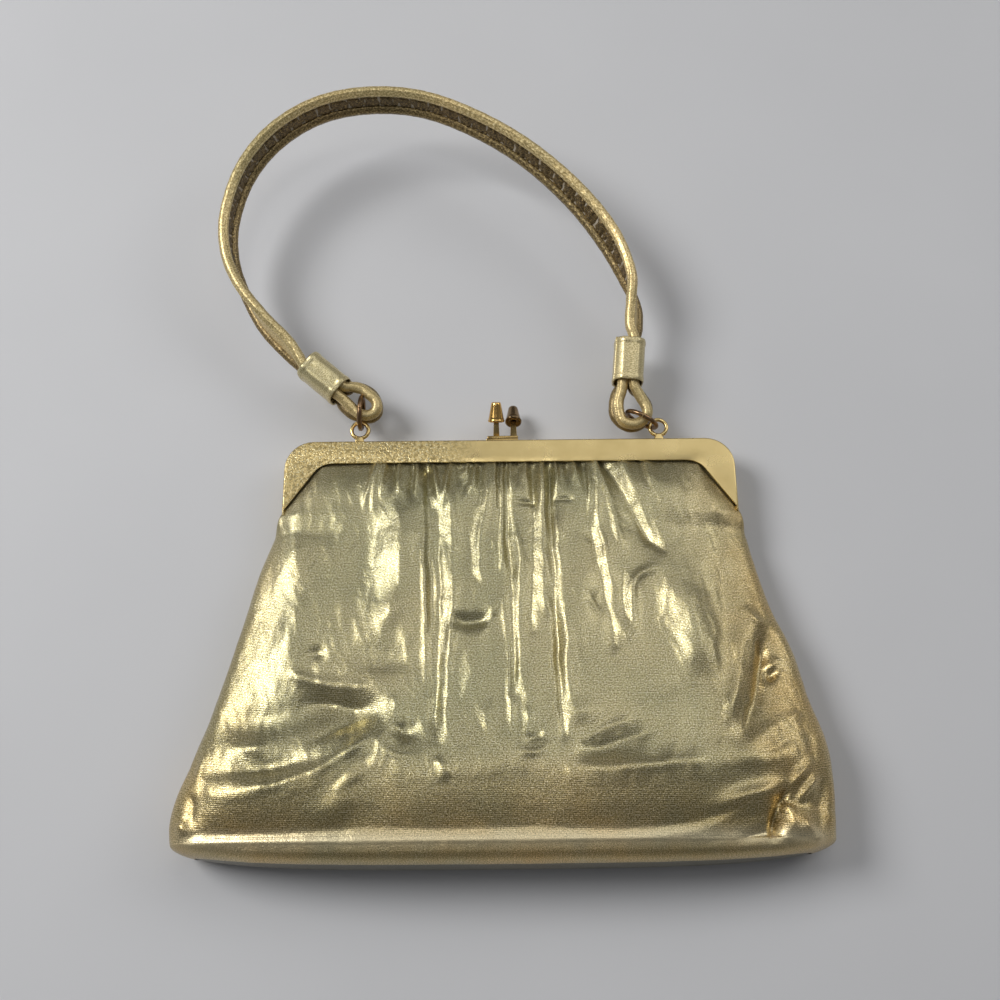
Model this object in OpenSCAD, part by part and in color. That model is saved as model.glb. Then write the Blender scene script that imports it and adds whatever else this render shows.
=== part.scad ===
/* [Frame] */
// Outer width of the metal frame
frame_w = 180; // [160:1:210]
// Height of the frame from its hinge pins to its top edge
frame_rise = 31; // [28:0.5:40]
// Height of the face bar along the top
bar_h = 9.5; // [7:0.5:12]
// Radius of the frame's outer corners
corner_r = 11.5; // [6:0.5:16]
// Depth of one half of the frame, from its face to the parting line
half_depth = 6.8; // [6.4:0.1:9]
// Thickness of the frame's sheet brass
sheet_t = 0.8; // [0.6:0.05:1]
// Gap between the two halves when the frame is shut
part_gap = 0.4; // [0.3:0.05:0.8]
// Height of the frame's back face above the table
lie_gap = 1.2; // [1:0.1:2]
// Sideways reach of each corner gusset below the bar
gusset_x = 14.6; // [10:0.5:20]
// Height above the hinge pins where each gusset has run out
gusset_low = 2; // [1:0.5:5]
// Inside width of the channel that grips the cloth
channel_gap = 2.6; // [2.3:0.1:3]
// Thickness of the channel's inner flange
flange_t = 0.6; // [0.4:0.05:0.8]
// Width of the channel's inner flange
flange_w = 6; // [5:0.5:7]

/* [Hinges] */
// Radius of the hinge tabs
tab_r = 3.6; // [3:0.1:4]
// Radius of the rivet's shank
rivet_r = 1.2; // [0.8:0.1:1.6]
// Radius of the rivet's heads
rivet_head_r = 2.3; // [2:0.1:2.6]
// Height of the rivet's heads
rivet_head_h = 0.8; // [0.5:0.1:1.2]
// Radial clearance of the rivet in the tab that turns
rivet_play = 0.05; // [0.02:0.01:0.08]
// Side clearance between the two tabs
tab_play = 0.08; // [0.05:0.01:0.12]

/* [Clasp] */
// Height of each clasp knob
knob_h = 8.2; // [6:0.2:10]
// Radius of a knob at its base
knob_r = 3.3; // [2.8:0.1:3.4]
// Radius of a knob at its tip
knob_tip_r = 2.05; // [1.6:0.05:2.6]
// Sideways distance between the two knobs' centres
knob_pitch = 7; // [6.9:0.1:9]
// Sideways place of the middle of the clasp
clasp_x = -1.7; // [-4:0.1:4]
// Length of each clasp arm's stem
stem_l = 11; // [9:0.5:14]
// Width of the stems
stem_w = 3; // [2.4:0.1:3.4]
// Thickness of the stems
stem_t = 1.6; // [1.2:0.1:2]
// Lean of the front knob towards the back, in degrees
front_lean = 20; // [14:1:24]
// Lean of the rear knob towards the front, in degrees
rear_lean = 28; // [22:1:30]
// Length of each clasp arm's foot
foot_l = 13; // [10:0.5:16]
// Depth of the feet, front to back
foot_w = 4; // [3:0.1:4.6]
// Thickness of the folded strip that makes a foot
foot_t = 2.4; // [1.8:0.1:2.6]

/* [Handle eyes and rings] */
// Distance of each handle eye's centre from the frame's outer side
eye_inset = 29.5; // [22:0.5:38]
// Radius of an eye, to the middle of its wire
eye_r = 3.4; // [3.2:0.1:3.8]
// Radius of an eye's wire
eye_wire = 0.8; // [0.6:0.05:0.9]
// Height of an eye's centre above the frame's top edge
eye_lift = 5.9; // [5.4:0.1:7]
// Width of the foot that carries an eye
eye_foot_w = 4.4; // [3:0.2:6]
// Depth of that foot, front to back
eye_foot_d = 2.4; // [1.8:0.1:3]
// Radius of a jump ring, to the middle of its wire
ring_r = 6.5; // [6.2:0.1:6.8]
// Radius of a jump ring's wire
ring_wire = 0.95; // [0.8:0.05:1]
// Distance of a ring's near wire from the eye's centre
ring_seat = 0.9; // [0.7:0.05:1.1]
// Way that the left ring points, in degrees from the left-to-right line
ring_left_way = 87; // [82:1:92]
// Way that the right ring points, in degrees from the left-to-right line
ring_right_way = 152; // [148:1:155]

/* [Handle] */
// Tilt of the handle above the table, in degrees
handle_tilt = 9; // [5:1:14]
// Reach of the strap's highest point from the eyes
handle_rise = 146; // [125:1:170]
// Width of the strap
strap_w = 13; // [12:0.2:14]
// Width of the strap inside its sleeves
strap_sleeved_w = 11.2; // [10:0.2:11.6]
// Width of the strap where it goes through a ring
strap_loop_w = 8.4; // [7.6:0.2:8.6]
// Radius of the corded edges of the strap
piping_r = 1.6; // [1.3:0.1:1.7]
// Thickness of the strap's outer and inner bands
band_t = 0.8; // [0.6:0.1:0.9]
// Thickness of the stiff core between the bands
core_t = 1; // [0.6:0.1:1.2]
// Length of each sleeve
sleeve_l = 18; // [15:0.5:20]
// Width of each sleeve, across the two plies of strap
sleeve_w = 13; // [12.6:0.2:15]
// Depth of each sleeve
sleeve_d = 14.6; // [14:0.2:16]
// Wall of the sleeves
sleeve_wall = 1; // [0.8:0.1:1.1]

/* [Pouch] */
// Height of the pouch below the hinge pins
pouch_drop = 127.4; // [115:0.2:145]
// Thickness of the pouch at its base
pouch_d = 33; // [28:0.5:40]
// Height of the pouch's crown at the hinges, above the table
shoulder_h = 19.2; // [18:0.2:19.4]
// Half width of the pouch at its base, left side
base_left = 124; // [110:1:135]
// Half width of the pouch at its base, right side
base_right = 116; // [105:1:130]
// Distance that the base leans outwards from its front rim to its back edge
base_lean = 6.4; // [4:0.2:12]
// Thickness of the outer cloth with its backing
cloth_t = 1.2; // [0.9:0.1:1.3]
// Thickness of the lining
lining_t = 0.6; // [0.4:0.1:0.7]
// Gap between layers of cloth
layer_gap = 0.1; // [0.05:0.05:0.2]
// Thickness of the stiff board in the base
board_t = 1.6; // [1:0.1:2.4]
// Distance of the board's edge from the cloth round it
board_inset = 2.5; // [1.5:0.5:5]
// Number of gathers below the face bar
gathers = 34; // [20:1:44]
// Depth of a gather
gather_d = 1; // [0.6:0.1:1.2]
// Length of the gathers that show below the face bar
gather_l = 9; // [8:0.2:9.4]
// Height of the main folds that hang from the gathers
fold_h = 1.8; // [1:0.1:2.4]
// Height of the sag folds above the base
sag_h = 1.6; // [1:0.1:2.2]
// Radius of the paper cord that locks the cloth in its channel
cord_r = 1.1; // [0.9:0.05:1.12]

/* [Hidden] */

// Colours of the materials
brass = [0.83, 0.68, 0.36];
dark_brass = [0.36, 0.28, 0.17];
lame = [0.72, 0.63, 0.34];
lining_cloth = [0.62, 0.5, 0.34];
card = [0.68, 0.6, 0.48];

// Places worked out from the frame
half_w = frame_w / 2;
hinge_z = lie_gap + half_depth + part_gap / 2;
front_low = hinge_z + part_gap / 2;
front_face = front_low + half_depth;
bar_low = frame_rise - bar_h;
inner_w = half_w - sheet_t;
channel_z = sheet_t + channel_gap;
running_gap = 0.3;
fine = 48;

// Clasp, seen from the front
knob_left_x = clasp_x - knob_pitch / 2;
knob_right_x = clasp_x + knob_pitch / 2;
foot_in = 3.6;
front_foot_z = front_low + foot_in;
rear_foot_z = hinge_z - foot_in + 0.6;
pin_depth = 3;
pin_r = 1.1;

// Handle eyes
eye_x = half_w - eye_inset;
eye_y = frame_rise + eye_lift;
eye_z = front_low + foot_in;
eye_foot_h = eye_lift - eye_r;

// Points of an arc
function arc(x, y, r, from, to, steps = 8) = [
    for (i = [0 : steps]) let (a = from + (to - from) * i / steps)
        [x + r * cos(a), y + r * sin(a)]
];

// Points of a smooth bend from a to c that is pulled towards b
function bend(a, b, c, steps = 6) = [
    for (i = [0 : steps]) let (t = i / steps)
        (1 - t) * (1 - t) * a + 2 * t * (1 - t) * b + t * t * c
];

// Outline of the frame's outside, w wide on each side, open at the bottom
function arch(w, top, r, low) = concat(
    [[w, low]],
    arc(w - r, top - r, r, 0, 90),
    arc(r - w, top - r, r, 90, 180),
    [[-w, low]]
);

// Outline of one face, with its bar and two corner gussets
gusset_in = half_w - gusset_x;
corner_in = [gusset_in, bar_low];
gusset_end = [inner_w, gusset_low];
gusset_turn = 5;
gusset_way = (gusset_end - corner_in) / norm(gusset_end - corner_in);
face_cut = concat(
    [[inner_w, -half_depth], gusset_end],
    bend(corner_in + gusset_turn * gusset_way, corner_in, corner_in - [gusset_turn, 0]),
    bend([gusset_turn - gusset_in, bar_low], [-gusset_in, bar_low],
        [-gusset_in - gusset_turn * gusset_way[0], bar_low + gusset_turn * gusset_way[1]]),
    [[-inner_w, gusset_low], [-inner_w, -half_depth]]
);

// Shell of one half with its face at z = 0 and its rim rising
module half_shell() {
    linear_extrude(sheet_t) difference() {
        polygon(arch(half_w, frame_rise, corner_r, 0));
        polygon(face_cut);
    }
    linear_extrude(half_depth) difference() {
        polygon(arch(half_w, frame_rise, corner_r, 0));
        polygon(arch(inner_w, frame_rise - sheet_t, corner_r - sheet_t, -1));
    }
    channel_low = gusset_low + flange_w;
    translate([0, 0, channel_z]) linear_extrude(flange_t) difference() {
        polygon(arch(inner_w + sheet_t / 2, frame_rise - sheet_t / 2, corner_r - sheet_t, channel_low));
        polygon(arch(inner_w - flange_w, frame_rise - sheet_t - flange_w, corner_r / 2, channel_low - 1));
    }
}

// Disc or drill along the hinge line, from x = a to x = b
module along_hinge(a, b, r) {
    translate([a, 0, hinge_z]) rotate([0, 90, 0]) cylinder(r = r, h = b - a, $fn = fine);
}

tab_out = inner_w - tab_play;
tab_in = tab_out - sheet_t;
tab_reach = 11;
wall_cut = tab_r + 0.6;

module rear_frame() {
    color(brass) difference() {
        union() {
            difference() {
                translate([0, 0, lie_gap]) half_shell();
                along_hinge(-half_w - 1, half_w + 1, wall_cut);
            }
            for (side = [0, 1]) mirror([side, 0, 0]) {
                along_hinge(tab_in, tab_out, tab_r);
                translate([tab_in, 0, lie_gap + sheet_t])
                    cube([sheet_t, tab_reach, half_depth - sheet_t]);
                translate([tab_in, wall_cut + 1, lie_gap + sheet_t])
                    cube([inner_w - tab_in + sheet_t / 2, tab_reach - wall_cut - 1, half_depth - sheet_t]);
            }
        }
        along_hinge(-half_w - 1, half_w + 1, rivet_r);
    }
}

module front_frame() {
    color(brass) difference() {
        union() {
            translate([0, 0, front_face]) mirror([0, 0, 1]) half_shell();
            for (side = [0, 1]) mirror([side, 0, 0]) along_hinge(inner_w, half_w, tab_r);
        }
        along_hinge(-half_w - 1, half_w + 1, rivet_r + rivet_play);
    }
}

// Rivet through both tabs, with a closed head at each end
module hinge_rivet(side) {
    color(brass) mirror([side < 0 ? 1 : 0, 0, 0]) {
        along_hinge(tab_in - rivet_head_h / 2, half_w + tab_play + rivet_head_h / 2, rivet_r);
        translate([half_w + tab_play, 0, hinge_z]) rotate([0, 90, 0])
            cylinder(r1 = rivet_head_r, r2 = rivet_head_r - rivet_head_h, h = rivet_head_h, $fn = fine);
        along_hinge(tab_in - rivet_head_h, tab_in, rivet_head_r);
    }
}

module hinge_rivet_left() hinge_rivet(-1);
module hinge_rivet_right() hinge_rivet(1);

// Clasp arm: folded strip along the top of the frame and a stem that leans
foot_over = 0.3;
module clasp_arm(x, z, lean, away) {
    near_end = stem_w / 2 + foot_over;
    color(brass) {
        translate([away > 0 ? x - near_end : x + near_end - foot_l, frame_rise, z - foot_w / 2])
            cube([foot_l, foot_t, foot_w]);
        translate([x, frame_rise, z]) rotate([lean, 0, 0]) {
            translate([-stem_w / 2, foot_t / 2, -stem_t / 2]) cube([stem_w, stem_l - foot_t / 2, stem_t]);
            translate([0, stem_l - 1, 0]) rotate([-90, 0, 0])
                cylinder(r = min(pin_r, stem_t / 2), h = 1 + pin_depth, $fn = fine);
        }
    }
}

// Clasp knob: cone with a flat tip, bored for the end of its stem
module clasp_knob(x, z, lean) {
    color(brass) translate([x, frame_rise, z]) rotate([lean, 0, 0])
        translate([0, stem_l, 0]) rotate([-90, 0, 0]) difference() {
            union() {
                cylinder(r1 = knob_r - 0.6, r2 = knob_r, h = 0.6, $fn = fine);
                translate([0, 0, 0.6]) cylinder(r1 = knob_r, r2 = knob_tip_r, h = knob_h - 0.6, $fn = fine);
            }
            translate([0, 0, -1]) cylinder(r = min(pin_r, stem_t / 2) + 0.02, h = 1 + pin_depth + 0.2, $fn = fine);
        }
}

module front_clasp_arm() clasp_arm(knob_right_x, front_foot_z, -front_lean, -1);
module front_clasp_knob() clasp_knob(knob_right_x, front_foot_z, -front_lean);
module rear_clasp_arm() clasp_arm(knob_left_x, rear_foot_z, rear_lean, 1);
module rear_clasp_knob() clasp_knob(knob_left_x, rear_foot_z, rear_lean);

// Eye that a jump ring goes through, on its small foot
module handle_eye(side) {
    color(brass) {
        translate([side * eye_x, eye_y, eye_z])
            rotate_extrude($fn = fine) translate([eye_r, 0]) circle(r = eye_wire, $fn = 24);
        translate([side * eye_x - eye_foot_w / 2, frame_rise, eye_z - eye_foot_d / 2])
            cube([eye_foot_w, eye_foot_h, eye_foot_d]);
    }
}

module handle_eye_left() handle_eye(-1);
module handle_eye_right() handle_eye(1);

// A point of the handle's tilted plane: u to the right, v up the handle, h out of the plane
function on_handle(u, v, h = 0) = [
    u,
    eye_y + v * cos(handle_tilt) - h * sin(handle_tilt),
    eye_z + v * sin(handle_tilt) + h * cos(handle_tilt)
];
plane_out = [0, -sin(handle_tilt), cos(handle_tilt)];
function plane_way(a) = on_handle(cos(a), sin(a)) - on_handle(0, 0);

// Solid with its own x and z set along two directions of the handle's plane
module set_in_plane(at, x_way, z_way) {
    y_way = cross(z_way, x_way);
    multmatrix([
        [x_way[0], y_way[0], z_way[0], at[0]],
        [x_way[1], y_way[1], z_way[1], at[1]],
        [x_way[2], y_way[2], z_way[2], at[2]],
        [0, 0, 0, 1]
    ]) children();
}

// Jump ring: round wire, its ends butted together
butt_angle = 3;
ring_reach = ring_seat + ring_r;
function ring_at(side, way) = [side * eye_x + ring_reach * cos(way), ring_reach * sin(way)];
module jump_ring(at, way) {
    color(dark_brass)
        set_in_plane(on_handle(at[0], at[1]), plane_way(way), cross(plane_way(way), plane_out))
        rotate([0, 0, 90]) rotate_extrude(angle = 360 - butt_angle, $fn = fine)
            translate([ring_r, 0]) circle(r = ring_wire, $fn = 24);
}

ring_left_at = ring_at(-1, ring_left_way);
ring_right_at = ring_at(1, ring_right_way);
module ring_left() jump_ring(ring_left_at, ring_left_way);
module ring_right() jump_ring(ring_right_at, ring_right_way);

// Sleeves: middle of the mouth, and the way each one points up the strap
sleeve_left_at = ring_left_at + ring_r * [-1.29, 1.37];
sleeve_left_way = 139.5;
sleeve_right_at = ring_right_at + ring_r * [-0.825, 2.325];
sleeve_right_way = 85;
ply_clear = 0.6;
ply = piping_r + ply_clear;
function up_sleeve(at, way, along, aside) = [
    at[0] + along * cos(way) + aside * sin(way),
    at[1] + along * sin(way) - aside * cos(way)
];

// Route of the strap's middle line: u, v, twist in degrees and width. Near a ring the points are
// steps of the ring's radius from its centre, and on the bow shares of the eyes' half distance and of
// the handle's reach
function by_ring(at, u, v, w) = [at[0] + ring_r * u, at[1] + ring_r * v, 0, w];
function on_bow(u, v, twist, w) = [eye_x * u, handle_rise * v, twist, w];
tail = sleeve_l - 3;
strap_route = concat(
    [
        concat(up_sleeve(sleeve_left_at, sleeve_left_way, tail, ply), [0, strap_sleeved_w]),
        concat(up_sleeve(sleeve_left_at, sleeve_left_way, 7, ply), [0, strap_sleeved_w]),
        concat(up_sleeve(sleeve_left_at, sleeve_left_way, 0, ply), [0, strap_sleeved_w - 1]),
        by_ring(ring_left_at, -0.52, 1.69, strap_loop_w + 0.6),
        by_ring(ring_left_at, 0.08, 1.54, strap_loop_w),
        by_ring(ring_left_at, 0.63, 1.14, strap_loop_w),
        by_ring(ring_left_at, 0.97, 0.585, strap_loop_w),
        by_ring(ring_left_at, 0.94, 0.03, strap_loop_w),
        by_ring(ring_left_at, 0.51, -0.245, strap_loop_w),
        by_ring(ring_left_at, -0.015, -0.185, strap_loop_w),
        by_ring(ring_left_at, -0.535, 0.095, strap_loop_w),
        by_ring(ring_left_at, -1.06, 0.585, strap_loop_w + 0.6),
        concat(up_sleeve(sleeve_left_at, sleeve_left_way, 0, -ply), [0, strap_sleeved_w - 1]),
        concat(up_sleeve(sleeve_left_at, sleeve_left_way, 9, -ply), [0, strap_sleeved_w]),
        concat(up_sleeve(sleeve_left_at, sleeve_left_way, sleeve_l, -ply + 0.4), [-5, strap_sleeved_w])
    ],
    [
        on_bow(-1.505, 0.245, -25, strap_w - 0.6),
        on_bow(-1.67, 0.32, -18, strap_w),
        on_bow(-1.825, 0.42, 2, strap_w),
        on_bow(-1.915, 0.52, 10, strap_w),
        on_bow(-1.925, 0.635, 14, strap_w),
        on_bow(-1.825, 0.775, 16, strap_w),
        on_bow(-1.62, 0.89, 18, strap_w),
        on_bow(-1.32, 0.97, 18, strap_w),
        on_bow(-0.96, 1, 18, strap_w),
        on_bow(-0.58, 0.985, 18, strap_w),
        on_bow(-0.2, 0.92, 20, strap_w),
        on_bow(0.15, 0.825, 24, strap_w),
        on_bow(0.465, 0.7, 30, strap_w),
        on_bow(0.695, 0.57, 32, strap_w),
        on_bow(0.825, 0.45, 14, strap_w),
        on_bow(0.865, 0.365, -18, strap_w),
        on_bow(0.86, 0.295, -26, strap_w - 0.8)
    ],
    [
        concat(up_sleeve(sleeve_right_at, sleeve_right_way, sleeve_l, ply - 0.4), [-5, strap_sleeved_w]),
        concat(up_sleeve(sleeve_right_at, sleeve_right_way, 9, ply), [0, strap_sleeved_w]),
        concat(up_sleeve(sleeve_right_at, sleeve_right_way, 0, ply), [0, strap_sleeved_w - 1]),
        by_ring(ring_right_at, -0.055, 1.56, strap_loop_w + 0.6),
        by_ring(ring_right_at, 0.31, 0.88, strap_loop_w),
        by_ring(ring_right_at, 0.31, 0.295, strap_loop_w),
        by_ring(ring_right_at, -0.055, -0.225, strap_loop_w),
        by_ring(ring_right_at, -0.64, -0.395, strap_loop_w),
        by_ring(ring_right_at, -1.225, -0.165, strap_loop_w),
        by_ring(ring_right_at, -1.535, 0.39, strap_loop_w),
        by_ring(ring_right_at, -1.565, 1.065, strap_loop_w),
        by_ring(ring_right_at, -1.38, 1.745, strap_loop_w + 0.6),
        concat(up_sleeve(sleeve_right_at, sleeve_right_way, 0, -ply), [0, strap_sleeved_w - 1]),
        concat(up_sleeve(sleeve_right_at, sleeve_right_way, 7, -ply), [0, strap_sleeved_w]),
        concat(up_sleeve(sleeve_right_at, sleeve_right_way, tail, -ply), [0, strap_sleeved_w])
    ]
);

// Smooth line through the points of a route, with so many steps between two of them
function through(p, i, t) = let (
    last = len(p) - 1, a = p[max(i - 1, 0)], b = p[i], c = p[min(i + 1, last)], d = p[min(i + 2, last)]
) 0.5 * (2 * b + (c - a) * t + (2 * a - 5 * b + 4 * c - d) * t * t + (3 * b - a - 3 * c + d) * t * t * t);
strap_steps = 2;
strap_line = [
    for (i = [0 : len(strap_route) - 2], s = [0 : strap_steps - 1]) through(strap_route, i, s / strap_steps),
    strap_route[len(strap_route) - 1]
];

// The strap's own directions at one place: along it, across its width and through it
function strap_place(i) = let (
    last = len(strap_line) - 1,
    p = strap_line[i], a = strap_line[max(i - 1, 0)], b = strap_line[min(i + 1, last)],
    way = atan2(b[1] - a[1], b[0] - a[0]),
    out = plane_way(way + 90),
    across = cos(p[2]) * plane_out + sin(p[2]) * out,
    through_it = cross(across, plane_way(way))
) [on_handle(p[0], p[1]), across, through_it, p[3]];
strap_places = [for (i = [0 : len(strap_line) - 1]) strap_place(i)];

// Sweep of an outline along the strap; the outline may depend on the strap's width
module sweep(rows) {
    n = len(rows[0]);
    m = len(rows);
    points = [for (row = rows, p = row) p];
    // Both sides of a twisted band are split along the same diagonal, so its plies lie parallel
    walls = [for (j = [0 : m - 2], i = [0 : n - 1]) each let (
        a = j * n + i, b = j * n + (i + 1) % n
    ) i < n / 2 ? [[a, b, b + n], [a, b + n, a + n]] : [[a, b, a + n], [b, b + n, a + n]]];
    caps = concat(
        [for (i = [1 : n - 2]) [0, i + 1, i]],
        [for (i = [1 : n - 2]) [(m - 1) * n, (m - 1) * n + i, (m - 1) * n + i + 1]]
    );
    polyhedron(points = points, faces = concat(walls, caps));
}

// A band of the strap between its two piped edges, from depth a to depth b
band_edge = 2 * piping_r + 0.1;
ply_gap = 0.05;
function band_row(place, a, b) = let (w = place[3] / 2 - band_edge) [
    for (q = [[-w, a], [w, a], [w, b], [-w, b]]) place[0] + q[0] * place[1] + q[1] * place[2]
];
module strap_band(a, b) sweep([for (place = strap_places) band_row(place, a, b)]);

module strap_core() color(card) strap_band(-core_t / 2, core_t / 2);
module strap_outer_band() color(lame) strap_band(-core_t / 2 - ply_gap - band_t, -core_t / 2 - ply_gap);
module strap_inner_band() color(lining_cloth) strap_band(core_t / 2 + ply_gap, core_t / 2 + ply_gap + band_t);

// A piped edge of the strap: side is 1 towards the viewer and -1 towards the table
piping_sides = 8;
module strap_piping(side) sweep([for (place = strap_places) [
    for (i = [0 : piping_sides - 1]) let (a = 360 * (i + 0.5) / piping_sides)
        place[0] + (side * (place[3] / 2 - piping_r) + piping_r * cos(a)) * place[1]
        + piping_r * sin(a) * place[2]
]]);

module strap_piping_front() color(lame) strap_piping(1);
module strap_piping_back() color(lame) strap_piping(-1);

// Rounded outline of a sleeve
function sleeve_outline(w, d, r) = concat(
    arc(w / 2 - r, d / 2 - r, r, 0, 90, 6), arc(r - w / 2, d / 2 - r, r, 90, 180, 6),
    arc(r - w / 2, r - d / 2, r, 180, 270, 6), arc(w / 2 - r, r - d / 2, r, 270, 360, 6)
);
sleeve_round = 4;
module sleeve(at, way) {
    color(lame) set_in_plane(on_handle(at[0], at[1]), plane_way(way - 90), plane_way(way))
        linear_extrude(sleeve_l) difference() {
            polygon(sleeve_outline(sleeve_w, sleeve_d, sleeve_round));
            polygon(sleeve_outline(sleeve_w - 2 * sleeve_wall, sleeve_d - 2 * sleeve_wall,
                sleeve_round - sleeve_wall));
        }
}

module sleeve_left() sleeve(sleeve_left_at, sleeve_left_way);
module sleeve_right() sleeve(sleeve_right_at, sleeve_right_way);

// Gathered heading of the front cloth, held in the front half's channel
heading_w = gusset_in - 1;
heading_low = bar_low - gather_l;
heading_top = frame_rise - sheet_t - 2 * cord_r - running_gap;
heading_z = front_face - sheet_t - layer_gap;
gather_steps = 4;
module front_heading() {
    n = gathers * gather_steps;
    top_line = [for (i = [0 : n]) [
        heading_w * (2 * i / n - 1),
        heading_z - gather_d / 2 + gather_d / 2 * cos(360 * i / gather_steps)
    ]];
    low_line = [for (i = [n : -1 : 0]) top_line[i] - [0, cloth_t]];
    color(lame) {
        translate([0, bar_low - running_gap, 0]) rotate([90, 0, 0])
            linear_extrude(gather_l - running_gap) polygon(concat(top_line, low_line));
        translate([-heading_w, bar_low - 2 * running_gap, heading_z - cloth_t])
            cube([2 * heading_w, heading_top - bar_low + 2 * running_gap, cloth_t]);
    }
}

// Lining behind that heading: a low flap under the gathers and a high one in the channel
lining_z = heading_z - cloth_t - layer_gap - lining_t;
lining_low = heading_low + 1;
lining_step = bar_low + 0.5;
module front_heading_lining() {
    color(lining_cloth) {
        translate([-heading_w, lining_low, lining_z - gather_d])
            cube([2 * heading_w, lining_step - lining_low, lining_t]);
        translate([-heading_w, lining_step - lining_t, lining_z - gather_d])
            cube([2 * heading_w, lining_t, gather_d + lining_t]);
        translate([-heading_w, lining_step - lining_t, lining_z])
            cube([2 * heading_w, heading_top - lining_step + lining_t, lining_t]);
    }
}

// Paper cord pressed into a channel beside the cloth's edge
module paper_cord(z) {
    cord_w = half_w - corner_r;
    translate([-cord_w, frame_rise - sheet_t - cord_r, z]) rotate([0, 90, 0])
        cylinder(r = cord_r, h = 2 * cord_w, $fn = fine);
}

cord_seat = sheet_t + channel_gap / 2;
module front_paper_cord() color(card) paper_cord(front_face - cord_seat);
module rear_paper_cord() color(card) paper_cord(lie_gap + cord_seat);

// Outline of the pouch: half widths and crown height by distance below the hinges
shoulder_w = tab_in - rivet_head_h - 0.6;
flare_w = half_w + 2;
hinge_clear = half_depth + part_gap + 0.8;
left_w = [
    [-pouch_drop, base_left - 1], [-0.96 * pouch_drop, base_left], [-0.77 * pouch_drop, base_left - 6],
    [-0.55 * pouch_drop, base_left - 14.5], [-0.35 * pouch_drop, flare_w + 11],
    [-0.15 * pouch_drop, flare_w + 4.5], [-hinge_clear - 1, flare_w], [-hinge_clear, shoulder_w]
];
right_w = [
    [-pouch_drop, base_right - 1], [-0.84 * pouch_drop, base_right], [-0.71 * pouch_drop, base_right - 1.5],
    [-0.58 * pouch_drop, base_right - 6], [-0.44 * pouch_drop, base_right - 10],
    [-0.31 * pouch_drop, flare_w + 7.5], [-0.15 * pouch_drop, flare_w + 2.5],
    [-hinge_clear - 1, flare_w], [-hinge_clear, shoulder_w]
];
panel_top = bar_low - gather_l - 2;
panel_top_h = hinge_z + 7.3;
crown_h = [
    [-pouch_drop, pouch_d], [-0.9 * pouch_drop, pouch_d - 0.8], [-0.75 * pouch_drop, pouch_d - 3],
    [-0.55 * pouch_drop, pouch_d - 5.5], [-0.35 * pouch_drop, pouch_d - 8],
    [-0.16 * pouch_drop, shoulder_h + 3], [-hinge_clear, shoulder_h + 0.2], [0, shoulder_h],
    [panel_top / 2, shoulder_h - 0.8], [panel_top, panel_top_h]
];

// Main folds of the front: two ends on the cloth, height and half width
folds = [
    [[-32, 20], [-27, -94], -fold_h, 4.5], [[-22, 20], [-24, -94], 0.6 * fold_h, 5],
    [[-37, 20], [-32, -88], 0.4 * fold_h, 5], [[-5, 20], [0, -92], -0.9 * fold_h, 4],
    [[2, 16], [3, -90], 0.5 * fold_h, 4], [[8.5, 20], [7, -68], -0.7 * fold_h, 3],
    [[12.5, 20], [12.5, -60], 0.6 * fold_h, 3.5], [[16.5, 20], [17, -94], -fold_h, 4],
    [[21, 16], [21, -82], 0.7 * fold_h, 5], [[40, 20], [55, -17], -fold_h, 6],
    [[37, 18], [41, -22], 0.6 * fold_h, 4.5], [[32, 18], [37, -50], -0.7 * fold_h, 4],
    [[43, -30], [36, -62], 0.6 * fold_h, 5], [[58, -24], [67, -53], 0.6 * fold_h, 9],
    [[80, 0], [79, -78], -0.8 * fold_h, 6], [[92, -60], [81, -94], -0.9 * fold_h, 6],
    [[18, -98], [50, -102], sag_h, 6], [[50, -102], [83, -94], sag_h, 6],
    [[18, -95], [52, -79], 0.5 * sag_h, 6], [[22, -97], [52, -89], -0.6 * sag_h, 6],
    [[-47, -88], [-66, -101], sag_h, 6], [[-66, -101], [-97, -108], sag_h, 6],
    [[-84, -68], [-45, -72], 0.9 * sag_h, 6], [[-66, -81], [-48, -81], -1.3 * sag_h, 8],
    [[-60, -112], [60, -112], -sag_h, 9], [[-42, -4], [-43, -30], sag_h, 9]
];
function to_line(p, a, b) = let (t = (p - a) * (b - a) / ((b - a) * (b - a)))
    norm(p - a - max(0, min(1, t)) * (b - a));
function sum(v) = v * [for (i = v) 1];
function fold_lift(p) = sum([for (f = folds) f[2] * exp(-pow(to_line(p, f[0], f[1]) / f[3], 2))]);

// Columns across the section: in mm from the middle where the folds hang, then shares of the way
// out to the side, then shares of the way down to the foot
fold_columns = [-56, -49, -42, -36.5, -31, -25, -18, -11, -4, 2.5, 8, 12.5, 17, 22, 27, 32, 37, 42, 48, 55];
out_shares = [0.14, 0.3, 0.46, 0.62, 0.76, 0.87, 0.95, 0.99];
foot_shares = [0, 0.5, 1];
outer_columns = concat([for (q = out_shares) [q, 0]], [for (q = foot_shares) [1, q]]);
columns_all = concat(
    [for (i = [len(outer_columns) - 1 : -1 : 0]) [-1, outer_columns[i]]],
    [for (x = fold_columns) [0, x]],
    [for (q = outer_columns) [1, q]]
);
last_column = len(columns_all) - 1;

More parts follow.
